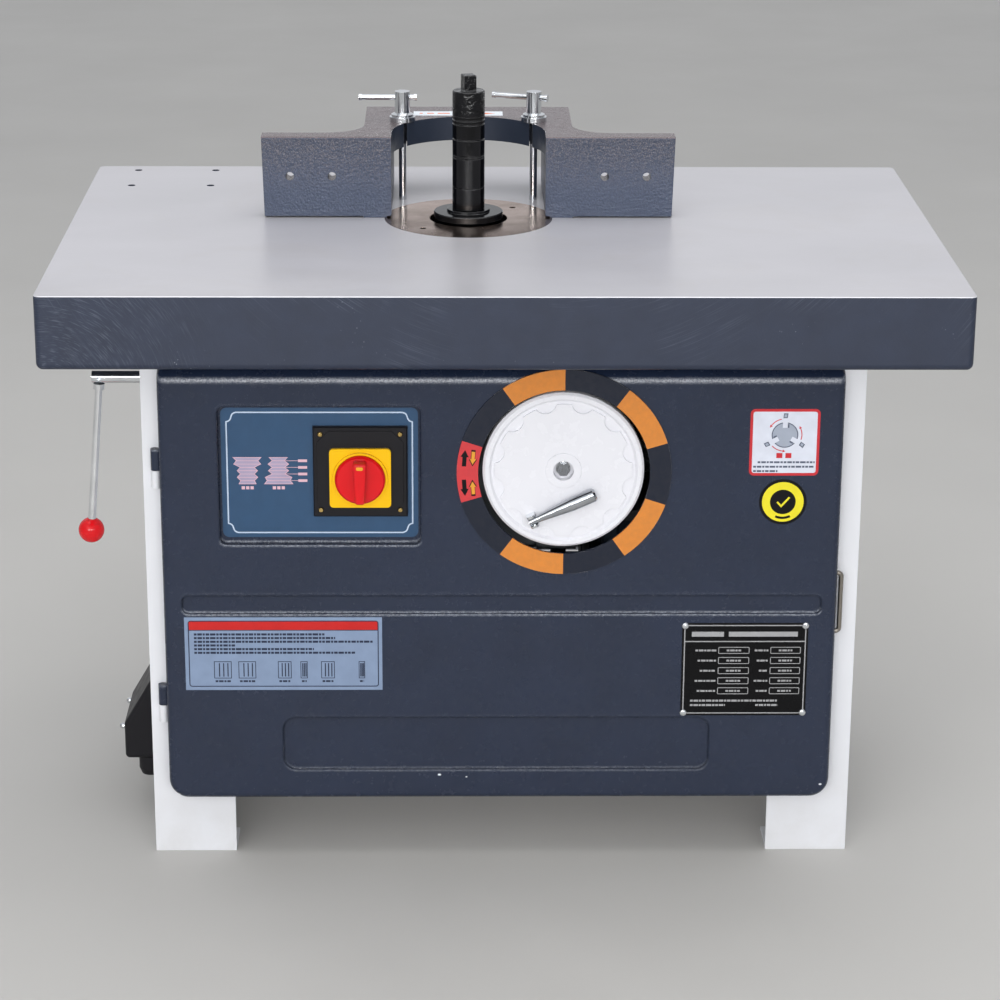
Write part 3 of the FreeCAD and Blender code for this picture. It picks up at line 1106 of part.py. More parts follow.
def make_lock_lever():
    """The lever outside the left wall that clamps the gib, with its rod and ball."""
    shaft = new_body("lock_shaft")
    slope = "dovetail_flare / dovetail_depth"
    gib_reach = "dovetail_half + gib_width + (lock_y + lock_shaft - guide_face) * " + slope
    inner = "fence_x + %s + air_gap" % gib_reach
    turned(shaft, [("0", inner), ("lock_shaft", inner), ("lock_shaft", "lock_end"), ("0", "lock_end")])
    screw_hole = new_sketch(shaft, "XZ_Plane", "-lock_shaft")
    pocket(shaft, circle(screw_hole, "0", "lever_x", "lock_hole"), "lock_shaft")
    place(shaft, "0", "-lock_y", "lock_z", FreeCAD.Rotation(Y_AXIS, -90))
    rod = new_body("lever_rod")
    seat = "lock_shaft + air_gap * 3"
    turned(rod, [("0", seat), ("lever_collar", seat), ("lever_collar", seat + " + lever_collar_height"),
                 ("lever_rod * taper_share", seat + " + lever_collar_height"),
                 ("lever_rod", "lever_length - ball_radius / 2"), ("0", "lever_length - ball_radius / 2")])
    down = FreeCAD.Rotation(Y_AXIS, value("180 + lever_tilt"))
    place(rod, "-lever_x", "-lock_y", "lock_z", down)
    ball = new_body("lever_ball")
    sketch = new_sketch(ball, "XZ_Plane")
    side = FreeCAD.Vector(value("ball_radius"), 0, 0)
    high = FreeCAD.Vector(0, value("ball_radius"), 0)
    sketch.addGeometry([Part.Arc(-high, side, high), Part.LineSegment(high, -high)])
    sketch.addConstraint([Sketcher.Constraint("Coincident", 0, 2, 1, 1),
                          Sketcher.Constraint("Coincident", 1, 2, 0, 1),
                          Sketcher.Constraint("Coincident", 0, 3, -1, 1),
                          Sketcher.Constraint("PointOnObject", 1, 1, -2)])
    number = sketch.addConstraint(Sketcher.Constraint("Radius", 0, value("ball_radius")))
    bind(sketch, "Constraints[%d]" % number, "ball_radius")
    spin = ball.newObject("PartDesign::Revolution", "ball_turn")
    spin.Profile = sketch
    spin.ReferenceAxis = (sketch, ["V_Axis"])
    spin.Angle = 360
    hole = circle(new_sketch(ball, "XY_Plane"), "0", "0", "lever_rod + fit_gap")
    pocket(ball, hole, "ball_radius / 2 + ball_radius")
    place(ball, "-lever_x - lever_length * sin(lever_tilt)", "-lock_y",
          "lock_z - lever_length * cos(lever_tilt)", down)


def make_connection_box():
    """The box on the left wall where the supply comes in, with its screws and cable gland."""
    box = new_body("connection_box")
    profile = new_sketch(box, "XZ_Plane", "-box_front")
    outline(profile, [("-half_width", "box_bottom"), ("-half_width", "box_top"),
                      ("-half_width - box_round", "box_top"), ("-half_width - box_reach", "box_break"),
                      ("-half_width - box_reach", "box_bottom")])
    pad(box, profile, "box_front - box_back", back=True)
    soften(box, "Fillet", "box_round", lambda edge: (
        edge.BoundBox.XMin < value("-half_width - box_round * 2")))
    place(box)
    screw = new_body("box_screw_head")
    turned(screw, [("0", "0"), ("box_screw", "0"), ("box_screw", "box_screw_proud * head_side_share"),
                   ("box_screw * head_side_share", "box_screw_proud"), ("0", "box_screw_proud")])
    spots = [("-half_width - box_reach", "box_screw_inset - box_front", "box_screw_z"),
             ("-half_width - box_reach", "box_back - box_screw_inset", "box_screw_z")]
    group("connection_box_screws", screw, spots, FreeCAD.Rotation(Y_AXIS, -90))
    gland = new_body("cable_gland")
    turned(gland, [("gland_bore", "-gland_drop"), ("gland_radius - gland_bore / 2", "-gland_drop"),
                   ("gland_radius", "-gland_drop * gland_flare_share"), ("gland_radius", "0"), ("0", "0"),
                   ("0", "-gland_drop * gland_floor_share"),
                   ("gland_bore", "-gland_drop * gland_floor_share")])
    place(gland, "-half_width - gland_radius - overrun", "gland_inset - box_front", "box_bottom")


def make_motor():
    """The flange motor that hangs from its plate on the carriage."""
    plate = new_body("motor_plate")
    sketch = new_sketch(plate, "XY_Plane", "motor_plate_z")
    outline(sketch, [(slide_x("guide_half", -1), "-carriage_back"),
                     ("motor_x + motor_flange", "-carriage_back"),
                     ("motor_x + motor_flange", "motor_y + motor_flange"),
                     ("motor_x - motor_flange", "motor_y + motor_flange"),
                     (slide_x("guide_half", -1), "motor_y - motor_flange / 2")])
    pad(plate, sketch, "motor_plate_height")
    soften(plate, "Fillet", "motor_flange * plate_round_share", lambda edge: along(edge, 2) and (
        edge.CenterOfMass.x > value("motor_x - motor_flange - overrun")
        and edge.CenterOfMass.y > value("-carriage_back / 2")))
    holes = new_sketch(plate, "XY_Plane", "motor_plate_z")
    circle(holes, "motor_x", "motor_y", "motor_shaft * plate_hole_share")
    reach = "motor_bolt_reach / sqrt(2)"
    corners = [("motor_x + %d * %s" % (side, reach), "motor_y + %d * %s" % (end, reach))
               for side in (-1, 1) for end in (-1, 1)]
    for x, y in corners:
        circle(holes, x, y, "motor_bolt + fit_gap")
    pocket(plate, holes, "motor_plate_height", back=True)
    motor = new_body("motor")
    low = "-(motor_flange_height + motor_body_height)"
    turned(motor, [("0", low), ("motor_radius", low), ("motor_radius", "-motor_flange_height"),
                   ("motor_flange", "-motor_flange_height"), ("motor_flange", "0"),
                   ("motor_shaft + fit_gap", "0"), ("motor_shaft + fit_gap", "-motor_body_height / 2"),
                   ("0", "-motor_body_height / 2")])
    slot = new_sketch(motor, "XY_Plane", "-motor_flange_height - fin_depth")
    rectangle(slot, "motor_radius - fin_depth", "-fin_width / 2", "motor_radius + overrun", "fin_width / 2")
    fin = pocket(motor, slot, "motor_body_height")
    ring_of(motor, [fin], "motor_fins")
    place(motor, "motor_x", "motor_y", "motor_top")
    cover = new_body("motor_fan_cover")
    top, wall = "motor_fan_height", "overrun"
    turned(cover, [("0", "0"), ("motor_radius - fin_depth * 2", "0"), ("motor_radius", "fin_depth * 2"),
                   ("motor_radius", top), ("motor_radius - %s" % wall, top),
                   ("motor_radius - %s" % wall, "fin_depth * 2 + %s / 2" % wall),
                   ("motor_radius - fin_depth * 2 - %s / 2" % wall, wall), ("0", wall)])
    vent = circle(new_sketch(cover, "XY_Plane"), "vent_reach", "0", "vent_hole")
    ring_of(cover, [pocket(cover, vent, "overrun", back=True)], "motor_fins")
    place(cover, "motor_x", "motor_y", "motor_bottom")
    shaft = new_body("motor_shaft")
    turned(shaft, [("0", "motor_top - motor_body_height / 2 + overrun"),
                   ("motor_shaft", "motor_top - motor_body_height / 2 + overrun"),
                   ("motor_shaft", "pulley_top"), ("0", "pulley_top")])
    place(shaft, "motor_x", "motor_y")
    spots = [(x, y, "motor_top + motor_plate_height") for x, y in corners]
    group("motor_bolts", bolt("motor_bolt_one", "motor_bolt", "motor_plate_height"), spots)


make_table()
make_insert_ring()
make_cabinet_side("cabinet_left_side", -1)
make_cabinet_side("cabinet_right_side", 1)
make_cabinet_panels()
make_cabinet_fasteners()
make_door()
make_dial_ring()
make_door_pull()
make_hinges()
make_switch()
make_fence()
make_fence_clamps()
make_spindle()
make_drive()
make_slide_way()
make_bearings()
make_rise_and_fall()
make_handwheel()
make_crank()
make_lock_lever()
make_connection_box()
make_motor()


def failed_items():
    """The names of the objects that did not build, and of the cuts that took nothing away."""
    names = [item.Label for item in doc.Objects if {"Invalid", "Error"} & set(item.State)]
    names += [item.Label for item in pieces if item.Shape.isNull() or not item.Shape.isValid()]
    names += [cut.Name for before, cut in cuts if cut.Shape.Volume >= before.Shape.Volume]
    return names


doc.recompute()
if failed_items():
    raise RuntimeError("These did not build: " + ", ".join(failed_items()))
os.makedirs("parts", exist_ok=True)
for piece in pieces:
    piece.Shape.exportStep("parts/%s.step" % piece.Label)
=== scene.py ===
"""Looks of the spindle moulder: finishes, stickers, a data plate and louvre hoods around the fixed frame."""
import bpy
import json
import math
from mathutils import Matrix, Vector
from mathutils.geometry import tessellate_polygon


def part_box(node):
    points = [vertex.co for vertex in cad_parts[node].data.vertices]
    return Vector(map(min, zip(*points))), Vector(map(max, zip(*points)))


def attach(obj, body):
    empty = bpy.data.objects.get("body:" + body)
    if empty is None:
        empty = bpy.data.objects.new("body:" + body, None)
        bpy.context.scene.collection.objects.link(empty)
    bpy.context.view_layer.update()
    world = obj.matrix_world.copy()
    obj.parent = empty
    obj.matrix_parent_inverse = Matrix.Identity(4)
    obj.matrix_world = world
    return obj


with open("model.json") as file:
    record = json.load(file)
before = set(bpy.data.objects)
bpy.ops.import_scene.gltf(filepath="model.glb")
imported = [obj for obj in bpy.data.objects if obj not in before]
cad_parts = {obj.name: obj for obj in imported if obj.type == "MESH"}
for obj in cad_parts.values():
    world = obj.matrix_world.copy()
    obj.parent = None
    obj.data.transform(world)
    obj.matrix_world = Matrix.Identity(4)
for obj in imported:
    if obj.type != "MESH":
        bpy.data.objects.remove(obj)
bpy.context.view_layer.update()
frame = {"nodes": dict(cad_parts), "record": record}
NODES = frame["nodes"]
MM = 0.001

# The photograph's camera: lens and sensor in millimetres, place in metres, angles in degrees
LENS = 106.07
SENSOR = 36.0
CAMERA_PLACE = (-0.0638, -3.6654, 1.648)
CAMERA_YAW = 0.996
CAMERA_PITCH = 18.856
CAMERA_ROLL = 0.313

# Faces of the frame that the finishes and the stickers are placed from
DOOR_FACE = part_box("door")[0].y
TABLE_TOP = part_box("table")[1].z
FENCE_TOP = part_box("fence")[1].z

# The arch in the fence: just behind the fence's face, where its round part starts, and its wall's reach
ARCH_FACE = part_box("fence")[0].y + 1.0 * MM
ARCH_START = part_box("fence")[0].y + 34.0 * MM
ARCH_REACH = 100.0 * MM

# The radius that the door's pressed edges are rounded to
DOOR_ROUND = 5.0 * MM

# Chips in the door's paint: X, Z and radius
DOOR_CHIPS = (
    (-79 * MM, 117 * MM, 2.4 * MM),
    (-45 * MM, 114 * MM, 1.4 * MM),
    (-409 * MM, 89 * MM, 3.0 * MM),
    (403 * MM, 103 * MM, 2.2 * MM),
)

# The X and Z that the rub marks on the table's rim run round, at its left and elsewhere
LEFT_MARKS = (-0.54, 0.64)
OTHER_MARKS = (0.05, 1.10)

# The range in which most values of cloudy noise lie
CLOUDY = (0.3, 0.7)


def srgb(red, green, blue):
    """A colour given as it looks on a screen, 0 to 255, as linear values."""
    def linear(channel):
        share = channel / 255
        return share / 12.92 if share <= 0.04045 else ((share + 0.055) / 1.055) ** 2.4
    return (linear(red), linear(green), linear(blue), 1.0)


def shade(colour, factor):
    """The colour made lighter or darker by a factor."""
    return tuple(min(1.0, channel * factor) for channel in colour[:3]) + (1.0,)


def middle(box):
    """The middle of a box that is given by its lowest and highest corners."""
    low, high = box
    return (low + high) / 2


# Paints and plastics, as they look on a screen
DARK_PAINT = srgb(31, 41, 62)
DOOR_SPECK = srgb(150, 154, 164)
# The colour of the painted highlight along the door's upturned rounded edges
DOOR_EDGE_HIGHLIGHT = srgb(192, 198, 210)
DOOR_CHIP = srgb(226, 228, 232)
APRON_PAINT = srgb(39, 47, 66)
APRON_RUB = srgb(120, 128, 144)
APRON_SPECK = srgb(176, 182, 192)
CABINET_WHITE = srgb(234, 235, 239)
CABINET_DUST = srgb(176, 170, 158)
WHEEL_WHITE = srgb(234, 234, 239)
FENCE_BLUE = srgb(65, 74, 94)
# The colour of the hammered paint's pale flecks, which are partly a painted sparkle
FENCE_FLECK_AND_SPARKLE = srgb(132, 122, 120)
# The colour of the painted reflection on the fence's top faces
FENCE_TOP_REFLECTION = srgb(108, 95, 97)
ARCH_DARK = srgb(48, 56, 71)
SIGNAL_RED = srgb(222, 20, 28)
SIGNAL_YELLOW = srgb(250, 196, 0)
PLASTIC_BLACK = srgb(24, 23, 27)
CAST_GREY = srgb(112, 116, 120)
MOTOR_BLUE = srgb(74, 88, 104)
BELT_BLACK = srgb(28, 28, 29)
DIAL_DARK = srgb(20, 27, 43)
DIAL_ORANGE = srgb(222, 138, 58)
DIAL_RED = srgb(214, 62, 66)
DIAL_GRIME = srgb(70, 68, 70)
DIAL_EDGE = srgb(215, 216, 218)
FLOOR_PALE = srgb(190, 188, 184)

# Metals, as they look on a screen
GROUND_IRON = srgb(193, 191, 195)
IRON_STAIN = srgb(172, 162, 150)
IRON_GRINDING = srgb(150, 156, 164)
# The colour of the table's chamfered top edge: bare steel, and partly a painted highlight
IRON_EDGE_AND_HIGHLIGHT = srgb(208, 209, 213)
INSERT_STEEL = srgb(180, 157, 144)
INSERT_BROWN = srgb(150, 126, 110)
GROUND_STEEL = srgb(196, 198, 200)
ZINC = srgb(226, 229, 232)
CRANK_STEEL = srgb(186, 189, 194)
SCREW_STEEL = srgb(150, 153, 158)
ROD_CHROME = srgb(246, 248, 250)
PULL_STEEL = srgb(150, 144, 136)
OXIDE_BLACK = srgb(8, 8, 10)
OXIDE_WORN = srgb(176, 176, 178)
BARE_EDGE = srgb(170, 172, 175)
BRASS_YELLOW = srgb(206, 176, 110)


class Finish:
    """A material under construction: short calls that add nodes and join them."""

    def __init__(self, name):
        self.material = bpy.data.materials.new(name)
        self.material.use_nodes = True
        self.tree = self.material.node_tree
        self.shader = self.tree.nodes["Principled BSDF"]
        self.place = self.add("ShaderNodeTexCoord").outputs["Object"]

    def add(self, kind, inputs=None, **settings):
        """A new node with its settings; each input is a plain value or another node's output."""
        node = self.tree.nodes.new(kind)
        for key, setting in settings.items():
            setattr(node, key, setting)
        for key, source in (inputs or {}).items():
            self.join(source, node.inputs[key])
        return node

    def join(self, source, socket):
        """Link an output to a socket, or set the socket's value."""
        if isinstance(source, bpy.types.NodeSocket):
            self.tree.links.new(source, socket)
        else:
            socket.default_value = source

    def look(self, **sockets):
        """Set the shader's sockets; underscores in the names stand for spaces."""
        for key, source in sockets.items():
            self.join(source, self.shader.inputs[key.replace("_", " ")])

    def axes(self, source=None):
        """The X, Y and Z parts of a vector, or of the place."""
        return self.add("ShaderNodeSeparateXYZ", {"Vector": source or self.place}).outputs

    def normal(self):
        """The surface's own normal, with no rounding or relief."""
        return self.add("ShaderNodeNewGeometry").outputs["Normal"]

    def stretched(self, x, y, z):
        """The place, scaled along each axis."""
        return self.add("ShaderNodeMapping", {"Vector": self.place, "Scale": (x, y, z)}).outputs["Vector"]

    def noise(self, scale, detail=4.0, rough=0.55, place=None, warp=0.0):
        """Cloudy noise from 0 to 1."""
        node = self.add("ShaderNodeTexNoise", {"Vector": place or self.place, "Scale": scale,
                                               "Detail": detail, "Roughness": rough, "Distortion": warp})
        return node.outputs["Fac"]

    def cells(self, scale, feature="F1", output="Distance"):
        """Cell noise: the distance to the nearest cell point, or another output of the node."""
        inputs = {"Vector": self.place, "Scale": scale}
        return self.add("ShaderNodeTexVoronoi", inputs, feature=feature).outputs[output]

    def math(self, operation, first, second=0.0):
        """One sum of two inputs."""
        node = self.add("ShaderNodeMath", operation=operation)
        self.join(first, node.inputs[0])
        self.join(second, node.inputs[1])
        return node.outputs[0]

    def times(self, first, second):
        """Two values or masks multiplied."""
        return self.math("MULTIPLY", first, second)

    def distance(self, across, along):
        """The length of a flat vector from its two parts."""
        return self.math("SQRT", self.math("ADD", self.times(across, across), self.times(along, along)))

    def span(self, source, low, high, to_low=0.0, to_high=1.0):
        """The source mapped from one range to another and kept inside it."""
        node = self.add("ShaderNodeMapRange", {"Value": source, "From Min": low, "From Max": high,
                                               "To Min": to_low, "To Max": to_high})
        return node.outputs["Result"]

    def uneven(self, scale, low, high):
        """Cloudy noise between two values, as for a roughness."""
        return self.span(self.noise(scale), *CLOUDY, low, high)

    def mix(self, share, first, second):
        """Two colours mixed by a share."""
        node = self.add("ShaderNodeMix", data_type="RGBA")
        self.join(share, node.inputs["Factor"])
        self.join(first, node.inputs[6])
        self.join(second, node.inputs[7])
        return node.outputs[2]

    def tinted(self, base, mask, strength, colour):
        """A base colour with another laid over it by a mask, at a strength."""
        return self.mix(self.times(mask, strength), base, colour)

    def mottled(self, colour, low, high, scale, detail=4.0, rough=0.55):
        """A colour that changes in clouds between two shades of it, given as factors."""
        clouds = self.span(self.noise(scale, detail, rough), *CLOUDY)
        return self.mix(clouds, shade(colour, low), shade(colour, high))

    def bump(self, height, strength, depth, under=None):
        """Bend the shader's normal by a height, in metres of depth."""
        node = self.add("ShaderNodeBump", {"Height": height, "Strength": strength, "Distance": depth})
        if under:
            self.join(under, node.inputs["Normal"])
        self.look(Normal=node.outputs["Normal"])

    def rounded(self, radius):
        """A normal that rounds sharp edges off."""
        return self.add("ShaderNodeBevel", {"Radius": radius}, samples=4).outputs["Normal"]

    def edges(self, radius):
        """A mask of the sharp edges: 1 on an edge, 0 away from it."""
        node = self.add("ShaderNodeVectorMath", operation="DOT_PRODUCT")
        self.join(self.normal(), node.inputs[0])
        self.join(self.rounded(radius), node.inputs[1])
        return self.span(node.outputs["Value"], 0.75, 0.98, 1.0, 0.0)

    def worn_edges(self, radius, scale, low, high, detail=4.0):
        """A mask of the sharp edges, broken up by noise that counts from low to high."""
        return self.times(self.edges(radius), self.span(self.noise(scale, detail), low, high))


def table_iron():
    """The table: a ground top whose chamfered edge is a brighter bare steel and partly a painted highlight,
    painted rim and underside.
    """
    f = Finish("table_iron")
    x, _, z = f.axes()
    _, onward, facing = f.axes(f.normal())
    level = f.math("GREATER_THAN", z, TABLE_TOP - 1.2 * MM)
    top = f.times(level, f.math("GREATER_THAN", facing, 0.6))
    edge = f.times(top, f.math("LESS_THAN", facing, 0.9))
    painted = f.math("SUBTRACT", 1.0, top)
    clouds = f.noise(3.2, 5.0, 0.6, f.stretched(1.0, 1.8, 1.0))
    grinding = f.noise(90.0, 3.0, 0.7, f.stretched(0.25, 9.0, 1.0))
    stains = f.span(f.noise(7.0, 6.0, 0.65, warp=0.6), 0.52, 0.78)
    steel = f.mix(f.span(clouds, *CLOUDY), shade(GROUND_IRON, 0.93), shade(GROUND_IRON, 1.05))
    steel = f.tinted(steel, stains, 0.16, IRON_STAIN)
    steel = f.tinted(steel, grinding, 0.08, IRON_GRINDING)
    paint = f.mix(f.span(f.noise(26.0, 5.0), 0.3, 0.75), shade(APRON_PAINT, 0.9), shade(APRON_PAINT, 1.1))
    marks = f.times(apron_scratches(f, x, z), f.math("LESS_THAN", onward, -0.5))
    paint = f.tinted(paint, marks, 0.30, APRON_RUB)
    dots = f.span(f.cells(150.0), 0.06, 0.12, 1.0, 0.0)
    specks = f.times(dots, f.span(f.noise(14.0), 0.56, 0.66))
    paint = f.tinted(paint, specks, 0.5, APRON_SPECK)
    chips = f.worn_edges(1.2 * MM, 45.0, 0.5, 0.62, 5.0)
    paint = f.mix(chips, paint, BARE_EDGE)
    # The chamfer is painted brighter than the top: a bare edge, and partly a painted highlight
    f.look(Base_Color=f.mix(edge, f.mix(top, paint, steel), IRON_EDGE_AND_HIGHLIGHT))
    bare = f.math("MAXIMUM", f.times(top, 0.18), f.times(edge, 0.35))
    f.look(Metallic=f.math("MAXIMUM", bare, f.times(chips, 0.8)))
    sheen = f.math("ADD", f.times(clouds, 0.7), f.times(grinding, 0.3))
    polish = f.span(sheen, 0.25, 0.75, 0.26, 0.38)
    satin = f.uneven(60.0, 0.40, 0.56)
    f.look(Roughness=f.math("ADD", f.times(polish, top), f.times(satin, painted)))
    grain = f.times(f.noise(420.0, 3.0), painted)
    relief = f.math("ADD", grain, f.times(f.times(grinding, top), 0.06))
    f.bump(relief, 0.22, 0.5 * MM, f.rounded(0.8 * MM))
    return f.material


def apron_scratches(f, x, z):
    """A mask of fine curved rub marks in the rim's paint: dense at its left, in faint rows elsewhere."""
    near_left = curved_marks(f, x, z, *LEFT_MARKS)
    elsewhere = curved_marks(f, x, z, *OTHER_MARKS)
    left = f.span(x, -0.46, -0.33, 1.0, 0.0)
    upper = f.span(z, TABLE_TOP - 0.022, TABLE_TOP - 0.008)
    row = f.times(upper, f.span(f.noise(13.0), 0.42, 0.60))
    faint = f.times(f.span(f.noise(9.0), 0.50, 0.64), 0.5)
    sparse = f.times(elsewhere, f.math("MAXIMUM", row, faint))
    return f.math("MAXIMUM", f.times(near_left, left), sparse)


def curved_marks(f, x, z, centre_x, centre_z):
    """A mask of thin strokes that run round a point of an upright face."""
    across = f.math("SUBTRACT", x, centre_x)
    rise = f.math("SUBTRACT", z, centre_z)
    reach = f.distance(across, rise)
    angle = f.math("ARCTAN2", rise, across)
    polar = f.add("ShaderNodeCombineXYZ", {"X": f.times(reach, 1300.0), "Y": f.times(angle, 9.0)})
    return f.span(f.noise(0.6, 2.0, 0.5, polar.outputs["Vector"]), 0.55, 0.70)


def cabinet_white():
    """White powder coat on sheet steel, a little dusty near the floor."""
    f = Finish("cabinet_white")
    height = f.axes()[2]
    dust = f.times(f.span(height, 0.0, 0.16, 1.0, 0.0), f.span(f.noise(18.0, 6.0), 0.35, 0.75))
    coat = f.mottled(CABINET_WHITE, 0.965, 1.0, 9.0, 3.0)
    coat = f.tinted(coat, dust, 0.28, CABINET_DUST)
    f.look(Base_Color=coat, Roughness=f.uneven(35.0, 0.30, 0.42))
    f.bump(f.noise(520.0, 2.0), 0.12, 0.35 * MM, f.rounded(0.9 * MM))
    return f.material


def door_paint():
    """Dark textured powder coat of the door, with dust specks, worn edges, a painted highlight along its
    upturned edges and chips near its foot.
    """
    f = Finish("door_paint")
    x, _, z = f.axes()
    coat = f.mottled(DARK_PAINT, 0.9, 1.08, 14.0, 6.0, 0.6)
    dots = f.span(f.cells(240.0), 0.05, 0.11, 1.0, 0.0)
    specks = f.times(dots, f.span(f.noise(11.0), 0.55, 0.68))
    coat = f.tinted(coat, specks, 0.35, DOOR_SPECK)
    coat = f.tinted(coat, f.worn_edges(0.9 * MM, 60.0, 0.56, 0.66, 5.0), 0.5, BARE_EDGE)
    # Painted highlight: bright grains along the rounded edges that turn upwards, stronger higher up
    coat = f.tinted(coat, painted_edge_highlight(f), 0.75, DOOR_EDGE_HIGHLIGHT)
    for chip_x, chip_z, radius in DOOR_CHIPS:
        coat = f.mix(chip(f, x, z, chip_x, chip_z, radius), coat, DOOR_CHIP)
    f.look(Base_Color=coat, Roughness=f.uneven(90.0, 0.20, 0.30))
    grain = f.math("ADD", f.noise(520.0, 3.0, 0.6), f.times(f.cells(700.0), 0.5))
    f.bump(grain, 0.26, 0.5 * MM, f.rounded(DOOR_ROUND))
    return f.material


def painted_edge_highlight(f):
    """A mask of painted highlight along the door's rounded edges where they turn upwards: bright grains that
    stand in for light caught by the paint's texture, fainter low down.
    """
    flat = f.axes(f.normal())[2]
    turned = f.axes(f.rounded(DOOR_ROUND))[2]
    band = f.times(f.span(turned, 0.10, 0.34), f.span(flat, 0.2, 0.5, 1.0, 0.0))
    # The painted highlight grows stronger higher up the door, where more light falls
    higher = f.span(f.axes()[2], 0.13, 0.32, 0.3, 1.0)
    grains = f.span(f.noise(420.0, 2.0), 0.40, 0.62, 0.35, 1.0)
    return f.times(f.times(band, higher), grains)


def chip(f, x, z, chip_x, chip_z, radius):
    """A mask of one ragged chip in the paint of an upright face."""
    across = f.math("SUBTRACT", x, chip_x)
    rise = f.times(f.math("SUBTRACT", z, chip_z), 1.5)
    ragged = f.math("ADD", f.distance(across, rise), f.times(f.noise(500.0), radius))
    return f.math("LESS_THAN", ragged, 1.4 * radius)


def dial_print():
    """The dial: ten printed segments round the handwheel, dark and orange in turn and one red."""
    f = Finish("dial_print")
    centre = middle(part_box("dial_ring"))
    x, _, z = f.axes()
    angle = f.math("ARCTAN2", f.math("SUBTRACT", x, centre.x), f.math("SUBTRACT", z, centre.z))
    turn = f.math("FRACT", f.math("ADD", f.math("DIVIDE", angle, 2 * math.pi), 1.0))
    ramp = f.add("ShaderNodeValToRGB", {"Fac": turn})
    ramp.color_ramp.interpolation = "CONSTANT"
    segments = (DIAL_DARK, DIAL_ORANGE, DIAL_DARK, DIAL_ORANGE, DIAL_DARK,
                DIAL_ORANGE, DIAL_DARK, DIAL_RED, DIAL_DARK, DIAL_ORANGE)
    stops = ramp.color_ramp.elements
    while len(stops) < len(segments):
        stops.new(1.0)
    for number, (stop, colour) in enumerate(zip(stops, segments)):
        stop.position = number / len(segments)
        stop.color = colour
    grain = f.noise(160.0)
    ink = f.tinted(ramp.outputs["Color"], f.span(grain, 0.3, 0.8), 0.16, DIAL_GRIME)
    worn = f.worn_edges(0.25 * MM, 30.0, 0.52, 0.62)
    f.look(Base_Color=f.mix(worn, ink, DIAL_EDGE), Specular_IOR_Level=0.3)
    f.look(Roughness=f.uneven(50.0, 0.42, 0.55))
    f.bump(grain, 0.06, 0.3 * MM)
    return f.material


def hammered_paint():
    """The fence: hammered metallic paint with a smooth dark arch wall; its top faces are browner, a painted
    reflection of a warm room, and its front is painted darker towards the top, a painted shade.
    """
    f = Finish("hammered_paint")
    z = f.axes()[2]
    upward = f.span(f.axes(f.normal())[2], 0.35, 0.75)
    arch = f.times(inside_arch(f), f.math("SUBTRACT", 1.0, upward))
    height = f.span(z, TABLE_TOP, FENCE_TOP)
    flake = f.span(f.axes(f.cells(1300.0, output="Color"))[0], 0.2, 0.95)
    front = f.mix(flake, shade(FENCE_BLUE, 0.76), shade(FENCE_BLUE, 1.14))
    # Painted shade: the front darkens towards its top, as the polished table below lights its lower part
    front = f.tinted(front, f.span(height, 0.5, 1.0), 0.5, shade(FENCE_BLUE, 0.5))
    # Pale flecks of the hammered paint, laid only on the upper part: partly the paint's own flecks, partly a
    # painted sparkle where light catches them
    flecks_and_sparkle = f.times(f.span(f.noise(900.0, 2.0), 0.50, 0.62), f.span(height, 0.3, 0.8))
    front = f.tinted(front, flecks_and_sparkle, 0.55, FENCE_FLECK_AND_SPARKLE)
    # Painted reflection: the top faces take a brownish colour that stands in for the warm room they reflect
    over = f.mix(flake, shade(FENCE_TOP_REFLECTION, 0.62), shade(FENCE_TOP_REFLECTION, 1.35))
    coat = f.mix(arch, f.mix(upward, front, over), ARCH_DARK)
    coat = f.tinted(coat, f.worn_edges(0.8 * MM, 70.0, 0.50, 0.62), 0.5, BARE_EDGE)
    f.look(Base_Color=coat, Metallic=f.span(upward, 0.0, 1.0, 0.2, 0.4))
    f.look(Roughness=f.math("SUBTRACT", f.uneven(120.0, 0.32, 0.44), f.times(upward, 0.14)))
    skin = f.math("ADD", f.cells(360.0, "SMOOTH_F1"), f.times(f.noise(700.0), 0.35))
    relief = f.times(skin, f.math("SUBTRACT", 1.0, arch))
    f.bump(relief, 0.55, 0.9 * MM, f.rounded(1.0 * MM))
    return f.material


def inside_arch(f):
    """A mask of what lies within the arch's reach of the spindle, behind the fence's face."""
    x, y, _ = f.axes()
    across = f.math("SUBTRACT", x, middle(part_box("spindle_shaft")).x)
    back = f.math("MAXIMUM", f.math("SUBTRACT", y, ARCH_START), 0.0)
    near = f.math("LESS_THAN", f.distance(across, back), ARCH_REACH)
    return f.times(near, f.math("GREATER_THAN", y, ARCH_FACE))


def black_oxide(name, dent, strength):
    """Blackened turned steel of the spindle, bright along its worn seams; dents break up its gloss."""
    f = Finish(name)
    turning = f.noise(60.0, 3.0, 0.6, f.stretched(1.0, 1.0, 26.0))
    worn = f.worn_edges(0.5 * MM, 55.0, 0.30, 0.50)
    coat = f.mottled(OXIDE_BLACK, 0.7, 1.6, 30.0, 5.0)
    f.look(Base_Color=f.tinted(coat, worn, 0.85, OXIDE_WORN))
    f.look(Metallic=f.times(worn, 0.9), Specular_IOR_Level=0.3)
    f.look(Roughness=f.span(turning, *CLOUDY, 0.06, 0.16))
    dents = f.times(f.noise(150.0, 3.0), dent)
    f.bump(f.math("ADD", turning, dents), strength, 0.12 * MM, f.rounded(0.4 * MM))
    return f.material


def turned_metal(name, colour, low_rough, high_rough):
    """Bright plated or turned metal with fine marks."""
    f = Finish(name)
    marks = f.noise(240.0, 3.0, 0.7, f.stretched(1.0, 1.0, 0.18))
    f.look(Base_Color=f.mottled(colour, 0.84, 1.0, 40.0))
    f.look(Metallic=1.0, Roughness=f.span(marks, *CLOUDY, low_rough, high_rough))
    f.bump(marks, 0.06, 0.10 * MM, f.rounded(0.4 * MM))
    return f.material


